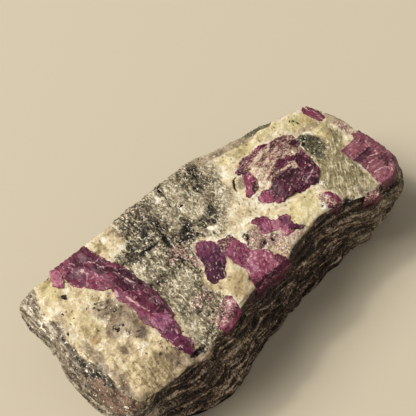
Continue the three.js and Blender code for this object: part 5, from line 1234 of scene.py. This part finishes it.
class Recipe:
    """The node network of one material, with a short call for each kind of step."""

    def __init__(self, name):
        self.material = bpy.data.materials.new(name)
        self.material.use_nodes = True
        self.nodes = self.material.node_tree.nodes
        self.links = self.material.node_tree.links
        self.shader = self.nodes["Principled BSDF"]

    def feed(self, socket, value):
        """Wires a step's result into a socket, or writes a plain value there, a colour with alpha 1."""
        if isinstance(value, bpy.types.NodeSocket):
            self.links.new(value, socket)
        else:
            socket.default_value = (*value, 1) if socket.type == "RGBA" else value

    def finish(self, inputs):
        """Feeds the shader's inputs, by name."""
        for name, value in inputs.items():
            self.feed(self.shader.inputs[name], value)

    def step(self, kind, output, inputs, **settings):
        """Adds a node, sets it, feeds its inputs (by name or place) and gives the wanted output."""
        node = self.nodes.new("ShaderNode" + kind)
        for key, value in settings.items():
            setattr(node, key, value)
        for key, value in inputs.items():
            self.feed(node.inputs[key], value)
        return node.outputs[output]

    def arrow(self, operation, *inputs, **named):
        """A sum on arrows, such as places and directions."""
        return self.step("VectorMath", "Vector", dict(enumerate(inputs)) | named, operation=operation)

    def place(self):
        """The point on the piece, in millimetres."""
        return self.arrow("SCALE", self.step("TexCoord", "Object", {}), Scale=1 / MM)

    def stretched(self, place, scales, turn=0):
        """The point in axes turned by this many degrees about Z, then scaled along each of them."""
        rotation, sizes = (0, 0, math.radians(turn)), [1 / scale for scale in scales]
        sockets = {"Vector": place, "Rotation": rotation, "Scale": sizes}
        return self.step("Mapping", "Vector", sockets, vector_type="TEXTURE")

    def cloud(self, place, scale, detail=4, rough=0.55, bend=0):
        """Cloudy noise from 0 to 1."""
        return self.step("TexNoise", 0, {
            "Vector": place, "Scale": scale, "Detail": detail, "Roughness": rough, "Distortion": bend})

    def loosened(self, place, scale, amount):
        """The point moved by a soft random arrow, so that a pattern laid on it loses its regularity."""
        drift = self.step("TexNoise", "Color", {"Vector": place, "Scale": scale, "Detail": 3})
        return self.arrow("ADD", place, self.arrow("SCALE", drift, Scale=amount))

    def grains(self, place, scale):
        """Cells like packed grains: a random colour for each."""
        return self.step("TexVoronoi", "Color", {"Vector": place, "Scale": scale})

    def lots(self, colour):
        """The three random numbers, 0 to 1, in a cell's colour."""
        return list(self.step("SeparateColor", 0, {0: colour}).node.outputs)

    def seams(self, place, scale, width):
        """1 on the borders between cells, 0 at this distance from them and beyond."""
        cell = {"Vector": place, "Scale": scale}
        gap = self.step("TexVoronoi", "Distance", cell, feature="DISTANCE_TO_EDGE")
        return self.between(gap, width * scale, 0.25 * width * scale)

    def weight(self, label):
        """A number stored at the mesh's points."""
        return self.step("Attribute", "Fac", {}, attribute_name=label)

    def math(self, operation, a, b):
        """One sum on two numbers."""
        return self.step("Math", "Value", {0: a, 1: b}, operation=operation)

    def times(self, a, b):
        """The product of two numbers."""
        return self.math("MULTIPLY", a, b)

    def total(self, *values):
        """The sum of several numbers."""
        return reduce(partial(self.math, "ADD"), values)

    def largest(self, *values):
        """The largest of several numbers."""
        return reduce(partial(self.math, "MAXIMUM"), values)

    def between(self, value, low, high, to_low=0, to_high=1):
        """The value stretched from low..high to 0..1 (or other ends), smooth and held at the ends."""
        return self.step("MapRange", "Result", {
            "Value": value, "From Min": low, "From Max": high, "To Min": to_low, "To Max": to_high},
            interpolation_type="SMOOTHSTEP")

    def sway(self, value, amount, low=0, high=1):
        """A texture turned into a shift: -amount where it is at `low`, +amount where it is at `high`."""
        return self.step("MapRange", "Result", {
            "Value": value, "From Min": low, "From Max": high, "To Min": -amount, "To Max": amount})

    def shifted(self, start, textures, **amounts):
        """A number that each named texture shifts up and down by its amount."""
        return self.total(start, *(self.sway(getattr(textures, name), amount, *SPANS.get(name, (0, 1)))
                                   for name, amount in amounts.items()))

    def relief(self, textures, **heights):
        """A sum of the named textures, each times its height."""
        return self.total(*(self.times(getattr(textures, name), height) for name, height in heights.items()))

    def mask(self, label, texture, breakup, low, high):
        """A stored weight whose border is broken up by a texture, as a mask from 0 to 1."""
        return self.between(self.total(self.weight(label), self.sway(texture, breakup / 2)), low, high)

    def mix(self, mask, a, b):
        """Colour a where the mask is 0, colour b where it is 1."""
        return self.step("Mix", 2, {0: mask, 6: a, 7: b}, data_type="RGBA")

    def mix_number(self, share, a, b):
        """Number a where the share is 0, number b where it is 1."""
        return self.step("Mix", 0, {0: share, 2: a, 3: b}, data_type="FLOAT")

    def tilted(self, height, strength, distance, colour, lean):
        """The surface direction with a bump of this many mm, then leaned at random for each cell."""
        sockets = {"Height": height, "Strength": strength, "Distance": distance * MM}
        bump = self.step("Bump", "Normal", sockets)
        tilt = self.arrow("SCALE", self.arrow("SUBTRACT", colour, (0.5, 0.5, 0.5)), Scale=lean)
        return self.arrow("NORMALIZE", self.arrow("ADD", bump, tilt))

    def ramp(self, value, *stops):
        """A colour ramp. A stop is its place, then red, green and blue."""
        node = self.nodes.new("ShaderNodeValToRGB")
        self.feed(node.inputs["Fac"], value)
        band = node.color_ramp.elements
        while len(band) < len(stops):
            band.new(0.5)
        for element, (at, *colour) in zip(band, stops):
            element.position = at
            element.color = *colour, 1
        return node.outputs["Color"]


# %% [markdown]
# ## The finish of the rock
# Feldspar is a warm cream, a little cloudy. Granular rock is a mix of black, grey and white grains a third of
# a millimetre across. Mica is dark and lies in thin layers that catch the light. The recipe mixes them by the
# weights stored at the points and breaks each border with fine noise, so that no border looks airbrushed.


# %% Textures that the minerals share
def rock_textures(r):
    """Clouds, packed grains and streaks of several sizes, as numbers from 0 to 1 all over the rock."""
    place = r.place()
    loose = r.loosened(place, 1.6, 0.7)
    crumb, glint, _ = r.lots(r.grains(loose, 7))
    grain, pit, _ = r.lots(r.grains(r.stretched(loose, (1.15, 0.5, 1)), 5.2))
    # the stored height by which ridges are painted lighter and hollows darker is kept here too
    return SimpleNamespace(
        place=place, loose=loose, crumb=crumb, glint=glint, grain=grain, pit=pit, ridge=r.weight("ridge"),
        grit=r.lots(r.grains(r.stretched(loose, (1, 0.7, 1), 10), 2.2))[0],
        plate=r.lots(r.grains(r.stretched(loose, (1, 0.7, 1), 20), 0.75))[0],
        fine=r.cloud(place, 3.2, 3, 0.6), medium=r.cloud(place, 1.1, 5, 0.6),
        broad=r.cloud(place, 0.35, 3),
        flake=r.cloud(r.stretched(loose, (2.6, 0.8, 1.5), 8), 1.2, 4, 0.6),
        streak=r.cloud(r.stretched(loose, (3, 0.3, 2), 4), 1, 4, 0.65))


# %% Feldspar
def feldspar(r, t):
    """Cream to brown by a tone that every texture shifts a little; yellower where it is golden. The split
    part is darker and has hair-fine lines along Y. Brown seams part the crystals. Also gives the tone."""
    mottled, split = r.weight("mottled"), r.weight("cleaved")
    hair = r.cloud(r.stretched(t.place, (5, 0.25, 1), -6), 1, 3, 0.6)
    # the stored height paints ridges lighter and hollows darker: painted light and shade
    tone = r.total(
        r.shifted(r.mix_number(mottled, 0.73, 0.62), t, medium=0.2, broad=0.14, fine=0.08, grain=0.04,
                  crumb=0.06, ridge=0.25),
        r.times(r.sway(t.plate, 0.18), r.mix_number(mottled, 0.4, 1)),
        r.times(r.sway(t.grit, 0.08), r.mix_number(mottled, 0.5, 1)),
        r.times(r.sway(hair, 0.15, 0.35, 0.65), split), r.times(split, -0.38))
    cream = r.ramp(tone, (0.1, 0.2, 0.145, 0.085), (0.32, 0.39, 0.295, 0.175), (0.52, 0.6, 0.485, 0.3),
                   (0.72, 0.73, 0.62, 0.42), (0.95, 0.86, 0.81, 0.67))
    golden = r.ramp(tone, (0.1, 0.22, 0.165, 0.075), (0.4, 0.42, 0.335, 0.16), (0.65, 0.6, 0.5, 0.26),
                    (0.95, 0.78, 0.7, 0.45))
    colour = r.mix(r.mask("golden", t.medium, 0.5, 0.2, 0.9), cream, golden)
    seam = r.times(r.seams(t.loose, 0.9, 0.05), r.between(t.medium, 0.5, 0.62, 0, 0.5))
    return r.mix(seam, colour, (0.24, 0.175, 0.1)), tone


# %% Granular rock and mica
def salt_and_pepper(r, t):
    """Grains from black to white, lighter where the rock is pale, and the darker grains of the mica."""
    pale = r.weight("pale")
    # the stored height paints ridges lighter and hollows darker: painted light and shade
    speck = r.total(
        r.shifted(0.48, t, crumb=0.22, flake=0.18, streak=0.34, medium=0.06, ridge=0.14), r.times(pale, 0.24),
        r.times(r.sway(t.grain, 0.42), r.between(t.medium, 0.36, 0.6, 0.6, 1)))
    salt = r.ramp(speck, (0, 0.01, 0.008, 0.006), (0.2, 0.06, 0.047, 0.031), (0.4, 0.155, 0.124, 0.08),
                  (0.6, 0.27, 0.222, 0.142), (0.8, 0.43, 0.367, 0.245), (1, 0.85, 0.79, 0.64))
    dark = r.ramp(speck, (0.08, 0.007, 0.005, 0.004), (0.3, 0.035, 0.027, 0.02), (0.5, 0.11, 0.088, 0.063),
                  (0.74, 0.24, 0.2, 0.142), (1, 0.66, 0.59, 0.46))
    return r.mix(r.times(pale, 0.4), salt, (0.45, 0.385, 0.265)), dark


# %% Fibrous rock
def fibrous(r, t):
    """Pale and dark strokes a fifth of a millimetre wide, laid 57 degrees from X."""
    fibre = r.cloud(r.stretched(t.place, (0.9, 4.6, 1), 57), 1, 3, 0.6)
    base = r.shifted(0.5, t, crumb=0.2, grain=0.12, medium=0.4)
    clear = r.between(t.medium, 0.4, 0.58, 0.35, 1)
    colour = r.mix(base, (0.14, 0.11, 0.055), (0.44, 0.37, 0.215))
    colour = r.mix(r.times(r.between(fibre, 0.53, 0.65), clear), colour, (0.72, 0.655, 0.45))
    return r.mix(r.times(r.between(fibre, 0.45, 0.36, 0, 0.85), clear), colour, (0.06, 0.045, 0.022))


# %% Split layers of the sides and of the left bevel
def flanks(r, t):
    """Thin level layers, near black to tan. The front is painted darker than the back, as painted shade, and
    rusty flakes lie under its face. The lower sides are painted lighter towards the foot, except in the
    middle of the bar, as painted light. The bevel has silvery streaks along Y instead, paler towards the
    back."""
    layer = r.cloud(r.stretched(t.loose, (0.16, 0.16, 1.5)), 1, 6, 0.7, 0.3)
    # the foot weight paints the lower sides lighter: painted light
    depth = r.total(r.times(r.between(layer, 0.36, 0.66), 0.8), r.mix_number(r.weight("foot"), 0.08, 0.25))
    # the stored height paints ridges lighter and hollows darker: painted light and shade
    depth = r.shifted(depth, t, ridge=0.36, crumb=0.26, fine=0.16, medium=0.22)
    # painted shade: the front is a darker copy of the back's layers
    front = r.ramp(depth, (0.05, 0.003, 0.001, 0.001), (0.3, 0.028, 0.016, 0.012),
                   (0.55, 0.104, 0.063, 0.045), (0.8, 0.29, 0.2, 0.14), (1, 0.8, 0.65, 0.5))
    back = r.ramp(depth, (0, 0.02, 0.015, 0.011), (0.3, 0.085, 0.066, 0.046), (0.6, 0.22, 0.18, 0.128),
                  (1, 0.56, 0.48, 0.36))
    sheet = r.total(r.times(r.between(t.streak, 0.3, 0.7), 0.8), r.mix_number(r.weight("silver"), 0.04, 0.2))
    # the stored height paints ridges lighter and hollows darker: painted light and shade
    sheet = r.shifted(sheet, t, crumb=0.14, medium=0.24, ridge=0.2)
    bevel = r.ramp(sheet, (0, 0.035, 0.026, 0.018), (0.25, 0.13, 0.1, 0.07), (0.5, 0.25, 0.2, 0.145),
                   (0.75, 0.4, 0.34, 0.25), (1, 0.8, 0.73, 0.6))
    rust = r.mix(t.crumb, (0.02, 0.008, 0.009), (0.13, 0.06, 0.055))
    rusty = r.mix(r.between(t.fine, 0.4, 0.6), front, rust)
    front = r.mix(r.mask("rust", t.medium, 0.8, 0.3, 0.9), front, rusty)
    return r.mix(r.weight("front"), back, front), bevel


# %% The rock's colour
def rock_colour(r, t):
    """The minerals laid over one another, each where its weight says, then painted shade in small pits and
    painted white glints, fewer on the front, which lies in shade.
    """
    cream, tone = feldspar(r, t)
    salt, dark = salt_and_pepper(r, t)
    flank, bevel = flanks(r, t)
    amber = r.mix(t.fine, (0.28, 0.185, 0.075), (0.5, 0.37, 0.18))
    ash = r.ramp(tone, (0.1, 0.06, 0.04, 0.027), (0.45, 0.178, 0.124, 0.081), (0.9, 0.41, 0.32, 0.22))
    mauve = r.mix(r.shifted(0.5, t, streak=0.7, crumb=0.3), (0.07, 0.04, 0.028), (0.33, 0.215, 0.145))
    green = r.mix(r.between(t.fine, 0.35, 0.65), (0.03, 0.026, 0.015), (0.19, 0.168, 0.1))
    dust = r.ramp(r.shifted(0.44, t, medium=0.2, grain=0.4, crumb=0.36),
                  (0.02, 0.02, 0.01, 0.01), (0.25, 0.11, 0.04, 0.05), (0.5, 0.28, 0.125, 0.135),
                  (0.75, 0.48, 0.29, 0.25), (0.95, 0.84, 0.7, 0.6))
    colour = cream
    for label, broken_by, breakup, low, high, share, laid in [
        ("granular", r.mix_number(0.5, t.medium, t.crumb), 0.9, 0.3, 0.7, 1, salt),
        ("fibrous", t.medium, 0.9, 0.3, 0.9, 1, fibrous(r, t)),
        ("amber", t.medium, 0.6, 0.3, 1, 1, amber),
        ("ash", t.medium, 0.5, 0.15, 0.95, 0.95, ash),
        ("bevel", t.medium, 0.6, 0.35, 0.65, 1, bevel),
        ("mauve", t.medium, 0.7, 0.3, 0.8, 1, mauve),
        ("side", t.medium, 0.6, 0.3, 0.7, 1, flank),
        ("mica", r.mix_number(0.4, t.streak, t.crumb), 1.3, 0.3, 0.8, 1, dark),
        ("olive", t.medium, 0.6, 0.3, 0.8, 1, green),
        ("pink", r.mix_number(0.5, t.grain, t.medium), 1.5, 0.35, 0.9, 0.85, dust),
        # white grains, and painted glints on the mica of the left bevel
        ("white_and_glint", r.mix_number(0.5, t.grit, t.crumb), 1, 0.45, 0.85, 1, (0.88, 0.82, 0.69)),
        ("spot", t.crumb, 0.5, 0.45, 0.65, 1, (0.012, 0.009, 0.007)),
    ]:
        colour = r.mix(r.times(r.mask(label, broken_by, breakup, low, high), share), colour, laid)
    # painted shade: small cells darkened as if in tiny pits
    pit_shade = r.times(r.between(t.pit, 0.07, 0.05), r.between(t.medium, 0.52, 0.4))
    colour = r.mix(r.times(pit_shade, 0.8), colour, (0.05, 0.036, 0.024))
    # painted highlight: white glints in a few cells, fewer on the front, which lies in shade
    painted_glints = r.times(r.between(t.glint, 0.95, 0.97), r.between(t.medium, 0.46, 0.56))
    painted_glints = r.times(painted_glints, r.mix_number(r.weight("front"), 0.9, 0.35))
    return r.mix(painted_glints, colour, (0.92, 0.88, 0.78))


# %% Rock material
def rock_material():
    """Colour, grainy relief, and light let in a little way, with small cells that catch the light."""
    r = Recipe("feldspar and mica rock")
    t = rock_textures(r)
    height = r.relief(t, grain=0.5, fine=0.9, crumb=0.3, grit=0.5)
    flaky = r.largest(*(r.weight(label) for label in ("side", "bevel", "granular", "mica")))
    lean = r.total(r.between(flaky, 0, 1, 0.34, 0.8), r.between(t.crumb, 0.92, 0.97, 0, 0.5))
    cells = r.grains(r.stretched(t.loose, (1, 0.8, 1)), 4.4)
    r.finish(STONE | {
        "Base Color": rock_colour(r, t), "Normal": r.tilted(height, 0.6, 0.12, cells, lean),
        "Roughness": r.between(t.crumb, 0.4, 1, 0.65, 0.15), "Subsurface Scale": 0.35 * MM,
        "Subsurface Radius": (1, 0.75, 0.5)})
    return r.material


rock_finish = rock_material()
print("made", rock_finish.name)

# %% [markdown]
# ## The finish of the rubies
# Ruby is glassy. On a broken face its colour swings from plum to pink over a millimetre, with pale scratches
# and tiny steps that sparkle. A fine bump, facets that each lean their own way and a low roughness where they
# catch the light give that, with a few painted sparks of light in the colour; a little light is let in under
# the surface so that thin edges glow.


# %% Ruby textures and colour
def ruby_textures(r):
    """Textures laid along each crystal's own grain, from the stored `along` and `across`, and plain ones."""
    place = r.place()
    height = r.step("SeparateXYZ", "Z", {0: place})
    laid = r.step("CombineXYZ", "Vector", {0: r.weight("along"), 1: r.weight("across"), 2: height})
    loose = r.loosened(laid, 1.4, 0.8)
    facets = r.grains(r.stretched(loose, (0.8, 1.5, 1.2)), 1)
    glint, spark, _ = r.lots(r.grains(r.stretched(loose, (3, 8, 6)), 1))
    return SimpleNamespace(
        loose=loose, facets=facets, fleck=r.lots(facets)[0], glint=glint, spark=spark,
        shard=r.lots(r.grains(r.stretched(loose, (1, 1.7, 1)), 2.6))[0],
        crumb=r.lots(r.grains(place, 6))[0], clump=r.lots(r.grains(r.loosened(place, 2, 0.6), 1.3))[0],
        fine=r.cloud(place, 2.6, 4, 0.6), medium=r.cloud(place, 0.9, 4, 0.55),
        dusty=r.cloud(place, 3, 5, 0.7),
        fibre=r.cloud(r.stretched(loose, (0.7, 5.5, 4)), 1, 3, 0.6))


def ruby_colour(r, t):
    """Plum to pink by a tone that facets, grain and crumbs shift, bluer where it is violet and duller where
    it is greyish, with dark cracks, pale lines and scratches, a crust of brown, tan and cream crumbs, and
    painted sparks of light. The tone is also raised a little in the cells that catch the light, as a painted
    highlight."""
    tone = r.shifted(r.weight("tone"), t, medium=0.1, fleck=0.05, shard=0.06, fine=0.1, fibre=0.14,
                     crumb=0.05)
    # painted highlight: the tone is raised in the few cells that catch the light
    tone = r.total(tone, r.between(t.glint, 0.93, 0.97, 0, 0.25))
    magenta = r.ramp(tone, (0, 0.03, 0.005, 0.012), (0.28, 0.088, 0.014, 0.035),
                     (0.52, 0.155, 0.026, 0.058), (0.75, 0.25, 0.052, 0.106), (1, 0.43, 0.17, 0.23))
    violet = r.ramp(tone, (0, 0.028, 0.005, 0.015), (0.28, 0.078, 0.013, 0.043), (0.52, 0.14, 0.027, 0.078),
                    (0.75, 0.225, 0.055, 0.132), (1, 0.4, 0.17, 0.27))
    greyish = r.ramp(tone, (0, 0.035, 0.016, 0.02), (0.28, 0.1, 0.042, 0.052), (0.52, 0.19, 0.08, 0.088),
                     (0.75, 0.31, 0.145, 0.15), (1, 0.48, 0.29, 0.29))
    dust = r.total(0.5, r.sway(r.weight("tone"), 0.24))
    dust = r.shifted(dust, t, clump=0.14, shard=0.12, crumb=0.18, dusty=0.22)
    crust = r.ramp(dust, (0.05, 0.04, 0.016, 0.02), (0.28, 0.13, 0.055, 0.06), (0.44, 0.32, 0.195, 0.16),
                   (0.64, 0.49, 0.355, 0.265), (0.82, 0.66, 0.54, 0.4), (1, 0.84, 0.75, 0.6))
    crack = r.times(r.seams(r.stretched(t.loose, (0.45, 1, 0.6)), 1, 0.06),
                    r.between(t.medium, 0.54, 0.62, 0, 0.6))
    line = r.times(r.seams(r.stretched(t.loose, (0.8, 1.5, 1.2)), 1, 0.05),
                   r.between(t.medium, 0.46, 0.38, 0, 0.45))
    border = r.weight("border")
    pale = r.between(r.total(border, r.sway(t.fine, 0.5, 0.35, 0.65)), 0.75, 1.2, 0, 0.5)
    deep = r.between(r.total(border, r.sway(t.fine, -0.5, 0.35, 0.65)), 0.75, 1.2, 0, 0.6)
    scratch = r.between(r.shifted(r.weight("scratch"), t, fine=0.4), 0.45, 1, 0, 0.7)
    crusted = r.between(r.shifted(r.weight("crust"), t, dusty=0.3, crumb=0.2), 0.4, 0.75)
    # painted highlight: sparks of light painted into the colour
    painted_sparks = r.times(r.between(t.spark, 0.97, 0.99), r.between(t.medium, 0.54, 0.6, 0, 0.7))
    colour = r.mix(r.weight("violet"), magenta, violet)
    for mask, laid in [
        (r.times(r.weight("greyish"), 0.5), greyish),
        (crack, (0.022, 0.006, 0.009)),
        (line, (0.55, 0.3, 0.34)),
        (pale, (0.55, 0.3, 0.34)),
        (deep, (0.03, 0.006, 0.012)),
        (scratch, (0.72, 0.47, 0.48)),
        (crusted, crust),
        (painted_sparks, (0.85, 0.68, 0.66)),
    ]:
        colour = r.mix(mask, colour, laid)
    return colour


# %% Ruby material
def ruby_material():
    """Glassy colour with small facets that lean their own way, and light let in a little way."""
    r = Recipe("broken ruby")
    t = ruby_textures(r)
    height = r.relief(t, fleck=0.4, fine=1, fibre=0.6, crumb=0.25)
    lean = r.total(r.between(t.glint, 0.93, 0.95, 0.2, 0.8), r.times(r.weight("crust"), 0.3))
    r.finish(STONE | {
        "Base Color": ruby_colour(r, t), "Normal": r.tilted(height, 0.4, 0.1, t.facets, lean),
        "Roughness": r.between(t.glint, 0.85, 0.95, 0.42, 0.16), "Subsurface Scale": 0.5 * MM,
        "Subsurface Radius": (1, 0.3, 0.45)})
    return r.material


ruby_finish = ruby_material()
print("made", ruby_finish.name)

# %% [markdown]
# ## Putting the pieces into the frame
# Each surface replaces the plain solid of the same part: the solid stays for collisions, and this piece
# stands for it. Nothing moves here, so every piece rides on the one body.

# %% Make the pieces
rock_values = {label: [grid] for label, grid in rock_weights.items()}
rock = stone_object("rock_bar", [rock_grid], rock_values, rock_finish)
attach(rock, "root")
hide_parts("matrix_rock")

for name, grids in crystal_grids.items():
    weights = [ruby_weights(*each) for each in zip(grids, CRYSTALS[name], crystal_seeds(name))]
    values = {label: [prism[label] for prism in weights] for label in weights[0]}
    crystal = stone_object(name.replace("ruby_", "crystal_"), grids, values, ruby_finish)
    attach(crystal, "root")
    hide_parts(name)

# %% [markdown]
# ## Floor, light and camera
# The stone lies on a plain, pale, warm floor. A large soft light stands behind it to the left and a weak one
# fills from everywhere, so the face is bright and the near side lies in shade.

# %% Floor
FLOOR_HALF = 1.5  # m from its middle to each side
floor_mesh = bpy.data.meshes.new("floor")
corners = [(x * FLOOR_HALF, y * FLOOR_HALF, 0) for x, y in ((-1, -1), (1, -1), (1, 1), (-1, 1))]
floor_mesh.from_pydata(corners, [], [(0, 1, 2, 3)])
floor_recipe = Recipe("pale floor")
floor_recipe.finish({"Base Color": (0.56, 0.5, 0.39), "Roughness": 0.9})
floor_mesh.materials.append(floor_recipe.material)
in_scene("floor", floor_mesh)

# %% Lights
WARM = (1, 0.96, 0.88)
STONE_MIDDLE = np.array([0, 0, 0.01])


def soft_light(name, place, size, watts):
    """A square, warm area light at a place, turned to face the stone."""
    lamp = bpy.data.lights.new(name, "AREA")
    lamp.shape = "SQUARE"
    lamp.size = size
    lamp.energy = watts
    lamp.color = WARM
    light = in_scene(name, lamp)
    light.location = place
    x, y, z = STONE_MIDDLE - np.array(place)
    light.rotation_euler = (math.atan2(math.hypot(x, y), -z), 0, math.atan2(y, x) - math.pi / 2)


soft_light("key light", (-0.95, 0.8, 1.45), 1, 37)
soft_light("sparkle light", (-0.6, 0.7, 1.2), 0.12, 5)
world = bpy.data.worlds.new("studio")
world.use_nodes = True
sky = world.node_tree.nodes["Background"].inputs
sky["Color"].default_value = (1, 0.95, 0.87, 1)
sky["Strength"].default_value = 0.3
bpy.context.scene.world = world
bpy.context.scene.view_settings.view_transform = "Standard"

# %% Camera
CAMERA_PLACE = (-39.056, -54.913, 136.947)  # mm
CAMERA_TURNS = (-33.69, "Z"), (30.324, "X"), (-7.581, "Z")  # degrees: its bearing, its tilt and its roll
lens = bpy.data.cameras.new("camera")
lens.lens = 90
lens.sensor_width = 36
lens.clip_start = 0.005
camera = in_scene("camera", lens)
stance = Matrix.Translation([v * MM for v in CAMERA_PLACE])
for angle, axis in CAMERA_TURNS:
    stance = stance @ Matrix.Rotation(math.radians(angle), 4, axis)
camera.matrix_world = stance
bpy.context.scene.camera = camera
